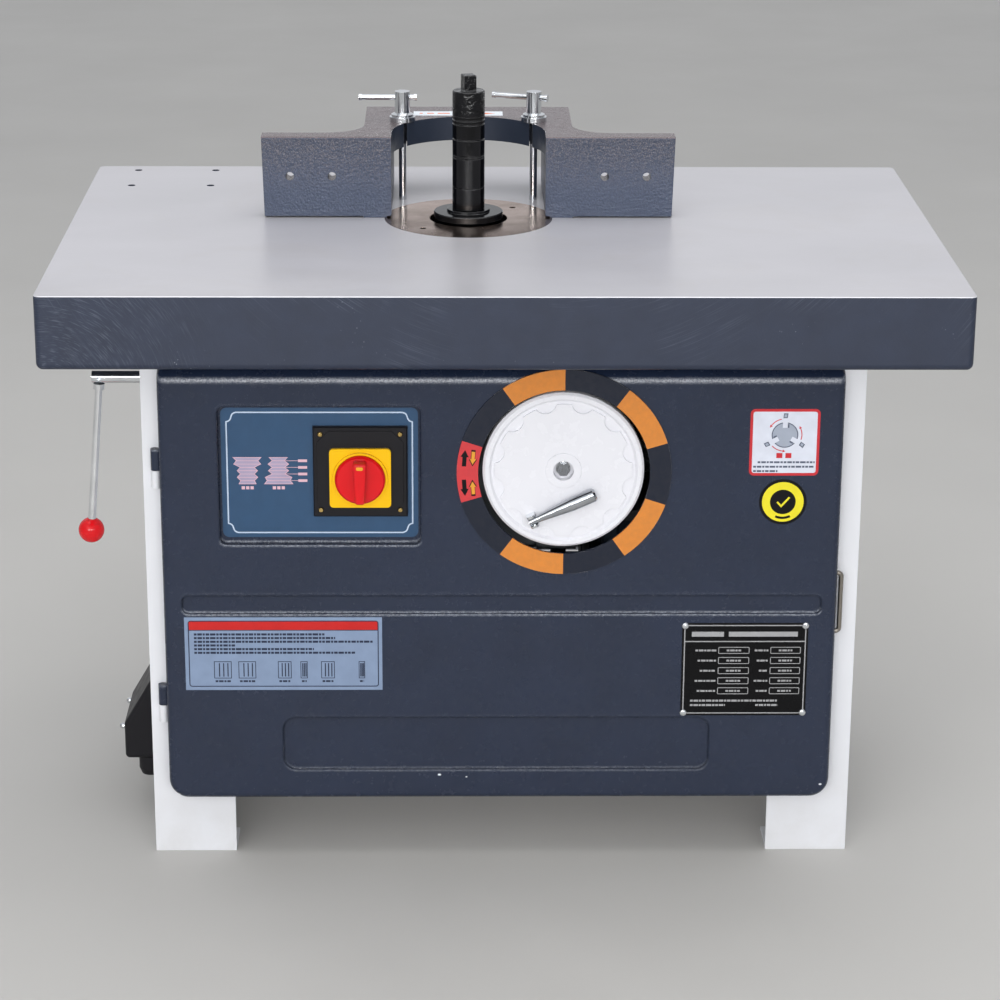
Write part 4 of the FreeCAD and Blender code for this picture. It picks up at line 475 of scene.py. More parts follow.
def insert_steel():
    """The ring in the table: turned steel, browned in patches."""
    f = Finish("insert_steel")
    centre = middle(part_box("table_insert_ring"))
    x, y, _ = f.axes()
    reach = f.distance(f.math("SUBTRACT", x, centre.x), f.math("SUBTRACT", y, centre.y))
    turning = f.math("SINE", f.times(reach, 5200.0))
    patches = f.span(f.noise(22.0, 5.0, 0.6), 0.4, 0.7)
    f.look(Base_Color=f.mix(patches, INSERT_STEEL, INSERT_BROWN), Metallic=1.0)
    f.look(Roughness=f.uneven(30.0, 0.17, 0.28))
    f.bump(turning, 0.10, 0.02 * MM, f.rounded(0.5 * MM))
    return f.material


def moulded(name, colour, low_rough, high_rough, texture=0.05, scale=300.0, gloss=0.5, mottle=0.06):
    """Moulded plastic, rubber or smooth paint with faint mottling and a fine texture."""
    f = Finish(name)
    f.look(Base_Color=f.mottled(colour, 1.0 - mottle, 1.0 + mottle / 2, 24.0))
    f.look(Specular_IOR_Level=gloss, Roughness=f.uneven(70.0, low_rough, high_rough))
    f.bump(f.noise(scale, 3.0), texture, 0.3 * MM, f.rounded(0.6 * MM))
    return f.material


def cast_iron(name, colour):
    """Painted grey casting with a sandy skin."""
    f = Finish(name)
    skin = f.math("ADD", f.noise(190.0, 5.0, 0.65), f.times(f.cells(260.0), 0.4))
    coat = f.mottled(colour, 0.78, 1.08, 12.0, 5.0)
    worn = f.worn_edges(0.9 * MM, 40.0, 0.5, 0.62)
    f.look(Base_Color=f.tinted(coat, worn, 0.7, BARE_EDGE), Metallic=0.25)
    f.look(Roughness=f.uneven(80.0, 0.42, 0.62))
    f.bump(skin, 0.35, 0.5 * MM, f.rounded(1.0 * MM))
    return f.material


def printed(name, colour, low_rough=0.34, high_rough=0.46, metallic=0.0, gloss=0.4):
    """Ink or film on a sticker or plate, a little uneven."""
    f = Finish(name)
    f.look(Base_Color=f.mottled(colour, 0.94, 1.04, 60.0))
    f.look(Specular_IOR_Level=gloss, Metallic=metallic)
    f.look(Roughness=f.uneven(40.0, low_rough, high_rough))
    f.bump(f.noise(500.0), 0.03, 0.1 * MM)
    return f.material


# The thickness of a sticker's film and of one coat of ink
FILM = 0.25 * MM
INK = 0.06 * MM

# The right and up directions of an upright face that looks forward, and of a level face seen from above
UPRIGHT = ((1, 0, 0), (0, 0, 1))
LEVEL = ((1, 0, 0), (0, 1, 0))


def new_object(name, points, faces, materials):
    """A mesh object in the scene."""
    mesh = bpy.data.meshes.new(name)
    mesh.from_pydata(points, [], faces)
    for material in materials:
        mesh.materials.append(material)
    piece = bpy.data.objects.new(name, mesh)
    bpy.context.scene.collection.objects.link(piece)
    return piece


class Print:
    """A thin piece made of flat layers on one plane: stickers, plates and signs.

    The plane has its own right and up directions, and layers rise from it along its normal.
    """

    def __init__(self, name, origin, right, up, body, slot):
        self.name = name
        self.right = Vector(right).normalized()
        self.up = Vector(up).normalized()
        self.out = self.right.cross(self.up)
        self.origin = Vector(origin)
        self.body = body
        self.slot = slot
        self.points = []
        self.faces = []
        self.inks = []
        self.face_inks = []

    def ink_number(self, ink):
        """The place of a material in this piece's list."""
        if ink not in self.inks:
            self.inks.append(ink)
        return self.inks.index(ink)

    def layer(self, outline, ink, low, high, holes=()):
        """A prism over an outline, with holes, from one height to another."""
        rings = [list(outline)] + [list(hole) for hole in holes]
        flat = [point for ring in rings for point in ring]
        start = len(self.points)
        count = len(flat)
        number = self.ink_number(ink)
        for height in (low, high):
            for u, v in flat:
                self.points.append(self.origin + self.right * u + self.up * v + self.out * height)
        caps = tessellate_polygon([[Vector((u, v, 0.0)) for u, v in ring] for ring in rings])
        for cap in caps:
            a, b, c = (Vector(flat[corner]) for corner in cap)
            order = cap if (b - a).cross(c - a) > 0 else cap[::-1]
            self.face([start + count + corner for corner in order], number)
            self.face([start + corner for corner in reversed(order)], number)
        offset = start
        for index, ring in enumerate(rings):
            size = len(ring)
            outward = (twice_area(ring) > 0) == (index == 0)
            for corner in range(size):
                first = offset + corner
                second = offset + (corner + 1) % size
                wall = [first, second, second + count, first + count]
                self.face(wall if outward else wall[::-1], number)
            offset += size

    def face(self, corners, number):
        """One face with its ink."""
        self.faces.append(corners)
        self.face_inks.append(number)

    def coat(self, outline, ink, low):
        """One coat of ink over an outline, from a height."""
        self.layer(outline, ink, low, low + INK)

    def bar(self, left, bottom, right, top, ink, low):
        """One coat of ink over a rectangle."""
        self.coat(plain_box(left, bottom, right, top), ink, low)

    def line(self, points, width, ink, low, closed=False):
        """A stroke of even width along points, with mitred corners, in one coat of ink."""
        count = len(points)
        lefts = []
        rights = []
        for index in range(count):
            here = Vector(points[index])
            ahead = Vector(points[(index + 1) % count]) - here
            behind = here - Vector(points[index - 1])
            if not closed and index == 0:
                behind = ahead
            if not closed and index == count - 1:
                ahead = behind
            along = ahead.normalized()
            side = along + behind.normalized()
            side = Vector((-side.y, side.x)).normalized()
            slant = max(0.3, side.dot(Vector((-along.y, along.x))))
            lefts.append(here + side * width / 2 / slant)
            rights.append(here - side * width / 2 / slant)
        if closed:
            outer, inner = (rights, lefts) if twice_area(points) > 0 else (lefts, rights)
            self.layer(outer, ink, low, low + INK, [inner])
        else:
            self.coat(rights + lefts[::-1], ink, low)

    def make(self):
        """Make the mesh object, riding on its body."""
        piece = new_object(self.name, [tuple(point) for point in self.points], self.faces, self.inks)
        piece.data.polygons.foreach_set("material_index", self.face_inks)
        piece.data.update()
        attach(piece, self.body)


def twice_area(ring):
    """Twice the area inside a ring of points: above 0 where the ring runs anticlockwise."""
    return sum(ring[k - 1][0] * ring[k][1] - ring[k][0] * ring[k - 1][1] for k in range(len(ring)))


def rounded_box(left, bottom, right, top, radius, steps=6):
    """The outline of a rectangle with round corners, anticlockwise."""
    corners = ((right - radius, bottom + radius, -90), (right - radius, top - radius, 0),
               (left + radius, top - radius, 90), (left + radius, bottom + radius, 180))
    points = []
    for x, y, start in corners:
        points.extend(arc(x, y, radius, start, start + 90, steps))
    return points


def plain_box(left, bottom, right, top):
    """The outline of a rectangle, anticlockwise."""
    return [(left, bottom), (right, bottom), (right, top), (left, top)]


def disc(x, y, radius, steps=48):
    """The outline of a circle, anticlockwise."""
    return arc(x, y, radius, 0, 360, steps)[:-1]


def arc(x, y, radius, start, end, steps):
    """Points along an arc, in degrees from +X."""
    angles = [math.radians(start + (end - start) * step / steps) for step in range(steps + 1)]
    return [(x + radius * math.cos(angle), y + radius * math.sin(angle)) for angle in angles]


def moved(points, x, y, turn=0.0, size=1.0):
    """Points turned by degrees, scaled and shifted."""
    cosine = math.cos(math.radians(turn))
    sine = math.sin(math.radians(turn))
    return [(x + size * (u * cosine - v * sine), y + size * (u * sine + v * cosine)) for u, v in points]


def door_print(name, depth=0.0):
    """A print on the door's face, or so deep behind it; places are the machine's own X and Z."""
    return Print(name, (0.0, DOOR_FACE + depth, 0.0), *UPRIGHT, "door", "door_grey")


# Inks and films of the stickers
INK_WHITE = printed("ink_white", srgb(232, 238, 244))
INK_BORDER = printed("ink_border", srgb(196, 212, 232))
INK_AMBER = printed("ink_amber", srgb(226, 168, 40))
INK_RED = printed("ink_red", srgb(204, 44, 52))
INK_GREY = printed("ink_grey", srgb(82, 90, 110))
INK_SLATE = printed("ink_slate", srgb(44, 52, 72), gloss=0.2)
INK_STEEL = printed("ink_steel", srgb(166, 174, 189))
INK_BLACK = printed("ink_black", srgb(12, 12, 15), gloss=0.2)
INK_YELLOW = printed("ink_yellow", srgb(240, 226, 40))
INK_ORANGE = printed("ink_orange", srgb(232, 160, 52))
INK_PINK = printed("ink_pink", srgb(226, 184, 196))
INK_LILAC = printed("ink_lilac", srgb(172, 160, 186))
INK_DASH = printed("ink_dash", srgb(236, 124, 84))
INK_BAND = printed("ink_band", srgb(200, 28, 26))
FILM_BLUE = printed("film_blue", srgb(46, 78, 111))
FILM_PALE = printed("film_pale", srgb(222, 226, 238))
FILM_SKY = printed("film_sky", srgb(132, 150, 178))
PLATE_BLACK = printed("plate_black", srgb(12, 12, 14), 0.22, 0.34, gloss=0.15)
PLATE_LINE = printed("plate_line", srgb(176, 176, 178), 0.26, 0.40, 0.4)

# The door's sunk panel, its depth and the margin of the film in it; boxes give left, bottom, right and top
RECESS = (-348 * MM, 425 * MM, -101 * MM, 602 * MM)
RECESS_DEPTH = 10 * MM
STICKER_MARGIN = 3.5 * MM

# The other prints on the door and the strip on the fence's top
ROTATION_BOX = (299 * MM, 515 * MM, 384 * MM, 600 * MM)
PASSED_CENTRE = (342 * MM, 481 * MM)
NOTES_BOX = (-395 * MM, 233 * MM, -150 * MM, 330 * MM)
STRIP_BOX = (-114 * MM, 184 * MM, 4 * MM, 211 * MM)

# The data plate and how far its rivets sit from its edges
PLATE = (223 * MM, 198 * MM, 380 * MM, 322 * MM)
RIVET_INSET = 3.6 * MM

# The slots in the rear cover: their ends, the lowest one's bottom, their height, pitch and count
LOUVRE_ENDS = (22 * MM, 172 * MM)
LOUVRE_START = 194 * MM
LOUVRE_SLOT = 7 * MM
LOUVRE_PITCH = 24 * MM
LOUVRE_COUNT = 11


def ogee_frame(left, bottom, right, top, notch, steps=8):
    """The outline of a rectangle whose corners are cut by S-shaped curves, anticlockwise."""
    corners = (((right - notch, bottom), (right, bottom + notch), -1),
               ((right, top - notch), (right - notch, top), 1),
               ((left + notch, top), (left, top - notch), -1),
               ((left, bottom + notch), (left + notch, bottom), 1))
    points = []
    for start, end, bend in corners:
        chord = Vector(end) - Vector(start)
        side = Vector((-chord.y, chord.x)).normalized() * notch * 0.13 * bend
        for step in range(steps + 1):
            share = step / steps
            points.append(tuple(Vector(start) + chord * share + side * math.sin(2 * math.pi * share)))
    return points


def pulley_sign(sign, x, top, half_widths, height, low):
    """A stepped pulley as a small sign: rims and grooves in turn, with a line along each of them."""
    step = height / (len(half_widths) - 1)
    right = [(x + half, top - step * index) for index, half in enumerate(half_widths)]
    left = [(2 * x - u, v) for u, v in right]
    sign.coat(right[::-1] + left, INK_LILAC, low)
    sign.line(right[::-1] + left, 0.7 * MM, INK_PINK, low + INK, closed=True)
    for edge, z in right[1:-1]:
        sign.bar(2 * x - edge, z - 0.3 * MM, edge, z + 0.3 * MM, INK_PINK, low + 2 * INK)


def control_sticker():
    """The blue film in the sunk panel, with its border and the two stepped pulleys of the drive."""
    left, bottom, right, top = RECESS
    left += STICKER_MARGIN
    bottom += 2 * STICKER_MARGIN
    right -= STICKER_MARGIN
    top -= STICKER_MARGIN
    plate_low, plate_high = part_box("switch_plate")
    gap = 0.3 * MM
    cut = plain_box(plate_low.x - gap, plate_low.z - gap, plate_high.x + gap, plate_high.z + gap)
    sign = door_print("control_sticker", RECESS_DEPTH)
    sign.layer(rounded_box(left, bottom, right, top, 8 * MM), FILM_BLUE, 0.0, FILM, [cut])
    border = ogee_frame(left + 7 * MM, bottom + 6 * MM, right - 7 * MM, top - 6 * MM, 12 * MM)
    sign.line(border, 1.7 * MM, INK_BORDER, FILM, closed=True)
    drive_x = -313 * MM
    spindle_x = -275 * MM
    sign_top = 535 * MM
    sign_height = 34 * MM
    shrinking = [half * MM for half in (17, 13, 16.5, 8.5, 12.4, 8.3, 12.6, 8.3, 10.5)]
    growing = [half * MM for half in (11, 7.3, 12.6, 7.6, 12.4, 7.6, 16.3, 14, 17.3)]
    for x, half_widths in ((drive_x, shrinking), (spindle_x, growing)):
        pulley_sign(sign, x, sign_top, half_widths, sign_height, FILM)
        for place in (-5.4 * MM, 0.0, 5.4 * MM):
            foot = x + place
            sign.bar(foot - 2 * MM, sign_top - 41 * MM, foot + 2 * MM, sign_top - 37 * MM, INK_PINK, FILM)
    value_left = -251 * MM
    value_right = -240 * MM
    for groove in (1, 3, 5, 7):
        z = sign_top - sign_height * groove / 8
        pointer_left = spindle_x + growing[groove] + 1 * MM
        sign.bar(pointer_left, z - 0.3 * MM, value_left, z + 0.3 * MM, INK_PINK, FILM)
        sign.bar(value_left, z - 1.7 * MM, value_right, z + 1.7 * MM, INK_PINK, FILM)
    sign.make()


def arrow(length, shaft, head, head_length):
    """The outline of an upright arrow about its middle."""
    high = length / 2
    neck = high - head_length
    return [(-shaft / 2, -high), (shaft / 2, -high), (shaft / 2, neck), (head / 2, neck),
            (0.0, high), (-head / 2, neck), (-shaft / 2, neck)]


def dial_arrows():
    """The arrows on the red segment: dark ones outside, orange ones with a dark edge inside, up and down."""
    low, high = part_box("dial_ring")
    centre = middle((low, high))
    sign = Print("dial_arrows", (centre.x, low.y, centre.z), *UPRIGHT, "door", "dial_print")
    shape = arrow(21 * MM, 5.2 * MM, 10 * MM, 9 * MM)
    outer = -121.5 * MM
    inner = -111.2 * MM
    height = 19.0 * MM
    tilt = 4
    for x, turn in ((outer, 0), (inner, 180)):
        for z, way in ((height, turn - tilt), (-height, turn + 180 + tilt)):
            sign.coat(moved(shape, x, z, way), INK_BLACK, 0.0)
            if x == inner:
                sign.coat(moved(shape, x, z, way, 0.78), INK_ORANGE, INK)
    sign.make()


def dashes(sign, left, right, bottom, thickness, ink, low):
    """A row of short bars of uneven length, as a line of print looks from afar."""
    lengths = [length * MM for length in (3.4, 5.6, 2.6, 4.4, 6.8, 3.0)]
    gap = 1.0 * MM
    start = left
    number = 0
    while start < right:
        end = min(right, start + lengths[number % len(lengths)])
        sign.bar(start, bottom, end, bottom + thickness, ink, low)
        start = end + gap
        number += 1


def rotation_sticker():
    """The white square with a red rim: a round cutter block that throws its blades, and rows of print."""
    left, bottom, right, top = ROTATION_BOX
    rim = 3.4 * MM
    sign = door_print("rotation_sticker")
    sign.layer(rounded_box(left, bottom, right, top, 6 * MM), INK_RED, 0.0, FILM)
    inside = rounded_box(left + rim, bottom + rim, right - rim, top - rim, 3 * MM)
    sign.coat(inside, FILM_PALE, FILM)
    x = 341.5 * MM
    z = 567 * MM
    low = FILM + INK
    cutter_block(sign, x, z, low)
    for start in (-9.6 * MM, 1.4 * MM):
        sign.bar(x + start, 537.5 * MM, x + start + 7.4 * MM, 544 * MM, INK_RED, low)
    for start, end, height in ((10.4, 80, 531.0), (5.2, 79, 525.2), (5.2, 35, 519.6)):
        dashes(sign, left + start * MM, left + end * MM, height * MM, 2.4 * MM, INK_GREY, low)
    sign.make()


def cutter_block(sign, x, z, low):
    """A round cutter block with three notches, each with a blade thrown out of it and an arrow round it."""
    radius = 16.2 * MM
    throw = 24.5 * MM
    sign.coat(disc(x, z, radius), INK_GREY, low)
    sign.coat(disc(x, z, radius - 1.2 * MM), INK_STEEL, low + INK)
    blade = [(-2.6 * MM, -3.0 * MM), (2.6 * MM, -3.0 * MM), (3.4 * MM, 3.0 * MM), (-2.0 * MM, 3.0 * MM)]
    point = [(-1.8 * MM, 0.0), (1.8 * MM, 0.0), (0.0, 3.4 * MM)]
    for turn in (90, 210, 330):
        notch = plain_box(radius - 7 * MM, -3 * MM, radius + 1 * MM, 3 * MM)
        sign.coat(moved(notch, x, z, turn), FILM_PALE, low + 2 * INK)
        seat = plain_box(radius - 7 * MM, -5 * MM, radius - 2.5 * MM, -3 * MM)
        sign.coat(moved(seat, x, z, turn), INK_GREY, low + 2 * INK)
        far_x = x + throw * math.cos(math.radians(turn))
        far_z = z + throw * math.sin(math.radians(turn))
        sign.coat(moved(blade, far_x, far_z, turn - 90), INK_GREY, low)
        sign.coat(moved(blade, far_x, far_z, turn - 90, 0.6), INK_STEEL, low + INK)
        sweep = arc(x, z, radius + 4.4 * MM, turn + 13, turn + 54, 10)
        sign.line(sweep, 1.1 * MM, INK_RED, low)
        sign.coat(moved(point, *sweep[-1], turn + 54), INK_RED, low + INK)


def passed_sticker():
    """The round yellow sticker with a black rim and a tick on its black middle."""
    x, z = PASSED_CENTRE
    sign = door_print("passed_sticker")
    sign.layer(disc(x, z, 29.2 * MM, 64), INK_BLACK, 0.0, FILM)
    sign.coat(disc(x, z, 25.6 * MM, 64), INK_YELLOW, FILM)
    sign.coat(disc(x, z, 15.8 * MM, 64), INK_BLACK, FILM + INK)
    tick = [(x - 7 * MM, z), (x - 2 * MM, z - 5.5 * MM), (x + 8 * MM, z + 6 * MM)]
    sign.line(tick, 2.4 * MM, INK_YELLOW, FILM + 2 * INK)
    sign.line(arc(x, z, 20.6 * MM, 245, 297, 10), 3.0 * MM, INK_BLACK, FILM + INK)
    sign.make()


def notes_sticker():
    """The wide pale sticker with a red band, rows of print and a row of plain outline boxes."""
    left, bottom, right, top = NOTES_BOX
    sign = door_print("notes_sticker")
    sign.layer(plain_box(left, bottom, right, top), FILM_SKY, 0.0, FILM)
    inset = 5.0 * MM
    border = rounded_box(left + inset, bottom + inset, right - inset, top - inset, 3 * MM)
    sign.line(border, 1.3 * MM, INK_SLATE, FILM, closed=True)
    inset += 0.6 * MM
    band_left = left + inset
    band_right = right - inset
    band_top = top - inset
    sign.bar(band_left, band_top - 11 * MM, band_right, band_top, INK_BAND, FILM)
    sign.bar(band_left, band_top - 12 * MM, band_right, band_top - 11 * MM, INK_SLATE, FILM)
    row_left = band_left + 6 * MM
    length = band_right - band_left - 12 * MM
    for row, share in enumerate((0.73, 0.79, 1.0, 0.23, 0.67, 0.90)):
        height = band_top - (18.4 + 4.9 * row) * MM
        dashes(sign, row_left, row_left + length * share, height, 2.8 * MM, INK_SLATE, FILM)
    for share, width in ((0.13, 21), (0.26, 21), (0.47, 16), (0.59, 8), (0.70, 16), (0.90, 7)):
        outline_box(sign, band_left + (band_right - band_left) * share, bottom, width * MM)
    sign.make()


def outline_box(sign, x, bottom, width):
    """A plain outline box with three stripes and a row of print under it."""
    box = plain_box(x, bottom + 16 * MM, x + width, bottom + 38 * MM)
    sign.line(box, 0.9 * MM, INK_SLATE, FILM, closed=True)
    for stripe in (0.3, 0.55, 0.8):
        centre = x + width * stripe
        sign.bar(centre - 0.7 * MM, bottom + 18 * MM, centre + 0.7 * MM, bottom + 36 * MM, INK_SLATE, FILM)
    dashes(sign, x + 1 * MM, x + width - 1 * MM, bottom + 10.5 * MM, 2.6 * MM, INK_SLATE, FILM)


def data_plate():
    """The black plate with pale lines, rows of print and boxes."""
    left, bottom, right, top = PLATE
    metal = 0.6 * MM
    sign = door_print("data_plate")
    sign.layer(rounded_box(left, bottom, right, top, 2 * MM), PLATE_BLACK, 0.0, metal)
    inset = 3.2 * MM
    border = plain_box(left + inset, bottom + inset, right - inset, top - inset)
    sign.line(border, 1.4 * MM, PLATE_LINE, metal, closed=True)
    inset += 0.8 * MM
    head = top - 24.5 * MM
    sign.bar(left + inset, head - 0.7 * MM, right - inset, head + 0.7 * MM, PLATE_LINE, metal)
    for start, end in ((12, 52), (58, 144)):
        sign.bar(left + start * MM, head + 6.5 * MM, left + end * MM, head + 13 * MM, PLATE_LINE, metal)
    for row in range(5):
        low = head - (16 + 13.6 * row) * MM
        for start, end, word in ((46, 84, 26), (111, 148, 17)):
            box_left = left + start * MM
            box_right = left + end * MM
            box = rounded_box(box_left, low, box_right, low + 8.2 * MM, 1.0 * MM, 3)
            sign.line(box, 0.9 * MM, PLATE_LINE, metal, closed=True)
            word_end = box_left - 3 * MM
            word_start = word_end - (word - 3 * (row % 3)) * MM
            for first, last in ((word_start, word_end), (box_left + 10 * MM, box_right - 10 * MM)):
                dashes(sign, first, last, low + 2.8 * MM, 2.4 * MM, PLATE_LINE, metal)
    for start, end, height in ((12, 122, 18.6), (12, 56, 12.6), (94, 122, 12.6)):
        dashes(sign, left + start * MM, left + end * MM, bottom + height * MM, 2.6 * MM, PLATE_LINE, metal)
    sign.make()


def knob_window():
    """The small yellow window near the top of the red knob's grip."""
    low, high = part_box("switch_knob")
    centre = middle((low, high))
    sign = Print("knob_window", (centre.x, low.y, centre.z), *UPRIGHT, "switch_knob", "yellow_plastic")
    sign.layer(rounded_box(-4.2 * MM, 18.4 * MM, 4.2 * MM, 22.6 * MM, 1.9 * MM), INK_AMBER, 0.0, FILM)
    sign.make()


def lathe(name, profile, centre, axis, material, body, steps=32):
    """A turned piece: (radius, height) points of a profile spun about an axis from a centre."""
    axis = Vector(axis).normalized()
    side = axis.orthogonal().normalized()
    other = axis.cross(side)
    points = []
    for radius, height in profile:
        for step in range(steps):
            angle = 2 * math.pi * step / steps
            ring = side * math.cos(angle) + other * math.sin(angle)
            points.append(tuple(Vector(centre) + axis * height + ring * radius))
    faces = []
    last = (len(profile) - 1) * steps
    for low in range(0, last, steps):
        high = low + steps
        for step in range(steps):
            after = (step + 1) % steps
            faces.append((low + step, low + after, high + after, high + step))
    faces.append(tuple(range(steps))[::-1])
    faces.append(tuple(range(last, last + steps)))
    piece = new_object(name, points, faces, [material])
    piece.data.shade_smooth()
    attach(piece, body)


def plate_rivets(material):
    """Four domed rivets at the corners of the data plate."""
    left, bottom, right, top = PLATE
    radius = 4.6 * MM
    dome = 2.4 * MM
    seat = DOOR_FACE - 0.55 * MM
    profile = [(radius * math.cos(math.radians(angle)), dome * math.sin(math.radians(angle)))
               for angle in (0, 15, 30, 45, 60, 75, 86)]
    corners = [(x, z) for x in (left + RIVET_INSET, right - RIVET_INSET)
               for z in (bottom + RIVET_INSET, top - RIVET_INSET)]
    for number, (x, z) in enumerate(corners):
        name = "plate_rivet_%d" % number
        lathe(name, profile, (x, seat, z), (0, -1, 0), material, "door")


def fence_strip():
    """The white strip on the bridge of the fence, with dashes that lead to an arrow."""
    left, front, right, back = STRIP_BOX
    sign = Print("fence_strip", (0.0, 0.0, FENCE_TOP), *LEVEL, "fence", "fence_hammer")
    sign.layer(plain_box(left, front, right, back), INK_WHITE, 0.0, FILM)
    axis = (front + back) / 2
    half = 2.6 * MM
    for start, length in ((8, 4), (18, 9), (32, 16), (54, 16), (76, 14)):
        dash_left = left + start * MM
        sign.bar(dash_left, axis - half, dash_left + length * MM, axis + half, INK_DASH, FILM)
    base = left + 90 * MM
    tip = [(base, axis - 6.5 * MM), (left + 108 * MM, axis), (base, axis + 6.5 * MM)]
    sign.coat(tip, INK_DASH, FILM)
    sign.make()


def louvre_hoods(material):
    """A pressed hood over each slot of the rear cover, open at its foot."""
    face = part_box("rear_cover")[1].y
    wall = 1.0 * MM
    lap = 1.5 * MM
    shoulder = face + 4.2 * MM
    brow = face + 6.0 * MM
    near, far = LOUVRE_ENDS
    points = []
    faces = []
    for row in range(LOUVRE_COUNT):
        low = LOUVRE_START + LOUVRE_PITCH * row
        high = low + LOUVRE_SLOT + lap
        outer = [(face, high), (shoulder, high - 2.2 * MM), (brow, low + 2.0 * MM), (brow, low)]
        inner = [(face, high - wall), (shoulder - wall, high - 2.9 * MM),
                 (brow - wall, low + 1.8 * MM), (brow - wall, low)]
        cheek = outer + [(face, low)]
        for left, right in ((-far - lap, -near + lap), (near - lap, far + lap)):
            prism(points, faces, outer + inner[::-1], left, right)
            prism(points, faces, cheek, left, left + wall)
            prism(points, faces, cheek, right - wall, right)
    piece = new_object("louvre_hoods", points, faces, [material])
    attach(piece, "frame")


def prism(points, faces, outline, left, right):
    """Add a prism between two X places to a mesh's points and faces; the outline is in Y and Z, clockwise."""
    start = len(points)
    count = len(outline)
    for x in (left, right):
        points.extend((x, y, z) for y, z in outline)
    faces.append([start + corner for corner in range(count)])
    faces.append([start + count + corner for corner in reversed(range(count))])
    for corner in range(count):
        after = (corner + 1) % count
        faces.append([start + corner, start + count + corner, start + count + after, start + after])


def dress_nodes():
    """Give every node of the frame its own finish or its slot's, and hand the slots' finishes on."""
    finishes = {
        "cast_table": table_iron(),
        "ground_steel": turned_metal("ground_steel", GROUND_STEEL, 0.22, 0.36),
        "cabinet_white": cabinet_white(),
        "door_grey": door_paint(),
        "dial_print": dial_print(),
        "fence_hammer": hammered_paint(),
        "black_steel": black_oxide("black_oxide", 0.0, 0.12),
        "bright_steel": turned_metal("bright_zinc", ZINC, 0.14, 0.26),
        "white_plastic": moulded("wheel_white", WHEEL_WHITE, 0.26, 0.28, 0.01, mottle=0.004),
        "red_plastic": moulded("signal_red", SIGNAL_RED, 0.08, 0.14, 0.02, gloss=0.35),
        "yellow_plastic": moulded("signal_yellow", SIGNAL_YELLOW, 0.28, 0.38, 0.04, gloss=0.3),
        "black_plastic": moulded("plastic_black", PLASTIC_BLACK, 0.36, 0.50, 0.18, 700.0, gloss=0.25),
        "brass": turned_metal("brass", BRASS_YELLOW, 0.20, 0.34),
        "grey_cast": cast_iron("grey_cast", CAST_GREY),
        "motor_paint": moulded("motor_paint", MOTOR_BLUE, 0.34, 0.48, 0.10, 420.0),
        "rubber": moulded("belt_rubber", BELT_BLACK, 0.62, 0.78, 0.20, 520.0),
    }
    own = {
        "table_insert_ring": insert_steel(),
        "spindle_nut": black_oxide("nut_oxide", 45.0, 0.4),
        "crank_handle": turned_metal("crank_steel", CRANK_STEEL, 0.10, 0.18),
        "handwheel_screw": turned_metal("screw_steel", SCREW_STEEL, 0.20, 0.34),
        "lever_rod": turned_metal("rod_chrome", ROD_CHROME, 0.07, 0.14),
        "hinge_upper_barrels": finishes["door_grey"],
        "door_pull": turned_metal("pull_steel", PULL_STEEL, 0.30, 0.42),
    }
    for row in frame["record"]["subparts"]:
        node = NODES[row["node"]]
        finish = own.get(row["node"], finishes[row["material_slot"]])
        node.data.materials.clear()
        node.data.materials.append(finish)
    return finishes


def make_camera():
    """The photograph's camera."""
    yaw, pitch, roll = (math.radians(angle) for angle in (CAMERA_YAW, CAMERA_PITCH, CAMERA_ROLL))
    ahead = Vector((math.sin(yaw) * math.cos(pitch), math.cos(yaw) * math.cos(pitch), -math.sin(pitch)))
    level = Vector((math.cos(yaw), -math.sin(yaw), 0.0))
    upright = level.cross(ahead)
    right = level * math.cos(roll) + upright * math.sin(roll)
    up = upright * math.cos(roll) - level * math.sin(roll)
    data = bpy.data.cameras.new("camera")
    data.lens = LENS
    data.sensor_width = SENSOR
    camera = bpy.data.objects.new("camera", data)
    turn = Matrix((right, up, -ahead)).transposed().to_4x4()
    camera.matrix_world = Matrix.Translation(CAMERA_PLACE) @ turn
    bpy.context.scene.collection.objects.link(camera)
    bpy.context.scene.camera = camera


# The lamps: name, place and size in metres, power in watts and spread in degrees; and where they point
LAMPS = (
    ("overhead_lamp", (0.3, -0.4, 3.8), (3.6, 2.6), 55.0, 180.0),
    ("front_lamp", (-1.6, -3.8, 2.4), (2.6, 2.2), 26.0, 180.0),
    ("strip_lamp", (0.0, -4.0, 1.5), (4.0, 0.16), 14.0, 70.0),
)
LAMP_TARGET = (0.0, 0.0, 0.6)
FLOOR_REACH = 16.0
SKY_COLOUR = (0.94, 0.96, 1.0, 1.0)


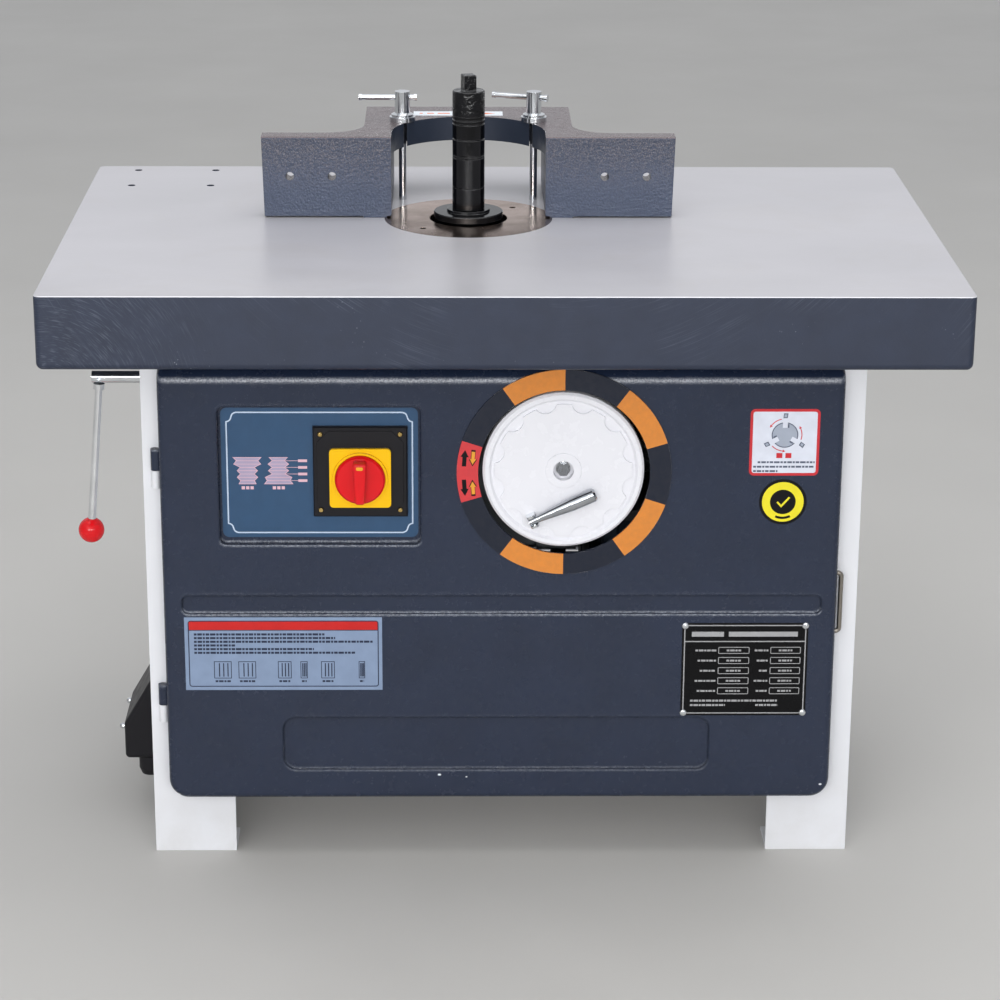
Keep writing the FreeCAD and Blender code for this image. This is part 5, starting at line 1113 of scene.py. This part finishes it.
def soft_light(name, place, size, power, spread):
    """An area lamp that points at the target."""
    data = bpy.data.lights.new(name, "AREA")
    data.shape = "RECTANGLE"
    data.size, data.size_y = size
    data.energy = power
    data.spread = math.radians(spread)
    lamp = bpy.data.objects.new(name, data)
    lamp.location = place
    lamp.rotation_euler = (Vector(LAMP_TARGET) - Vector(place)).to_track_quat("-Z", "Y").to_euler()
    bpy.context.scene.collection.objects.link(lamp)


def make_stage():
    """A plain pale floor, a soft sky, two large lamps and a strip that draws the edges."""
    f = Finish("floor_pale")
    f.look(Base_Color=f.mottled(FLOOR_PALE, 0.96, 1.03, 2.0, 6.0))
    f.look(Roughness=f.uneven(8.0, 0.55, 0.7))
    corners = plain_box(-FLOOR_REACH, -FLOOR_REACH, FLOOR_REACH, FLOOR_REACH)
    floor = new_object("floor", [(x, y, 0.0) for x, y in corners], [(0, 1, 2, 3)], [f.material])
    soft_sky()
    for lamp in LAMPS:
        soft_light(*lamp)


def soft_sky():
    """A pale sky, darker towards the two sides, as the ends of a long room are."""
    world = bpy.data.worlds.new("soft_sky")
    world.use_nodes = True
    tree = world.node_tree
    place = tree.nodes.new("ShaderNodeTexCoord")
    direction = tree.nodes.new("ShaderNodeSeparateXYZ")
    tree.links.new(place.outputs["Generated"], direction.inputs["Vector"])
    sideways = tree.nodes.new("ShaderNodeMath")
    sideways.operation = "ABSOLUTE"
    tree.links.new(direction.outputs["X"], sideways.inputs[0])
    strength = tree.nodes.new("ShaderNodeMapRange")
    for name, setting in (("From Min", 0.55), ("From Max", 0.95), ("To Min", 0.76), ("To Max", 0.30)):
        strength.inputs[name].default_value = setting
    tree.links.new(sideways.outputs[0], strength.inputs["Value"])
    sky = tree.nodes["Background"]
    sky.inputs["Color"].default_value = SKY_COLOUR
    tree.links.new(strength.outputs["Result"], sky.inputs["Strength"])
    bpy.context.scene.world = world


finishes = dress_nodes()
control_sticker()
dial_arrows()
rotation_sticker()
passed_sticker()
notes_sticker()
data_plate()
plate_rivets(finishes["bright_steel"])
louvre_hoods(finishes["cabinet_white"])
fence_strip()
knob_window()
make_camera()
make_stage()
bpy.context.scene.view_settings.view_transform = "Standard"
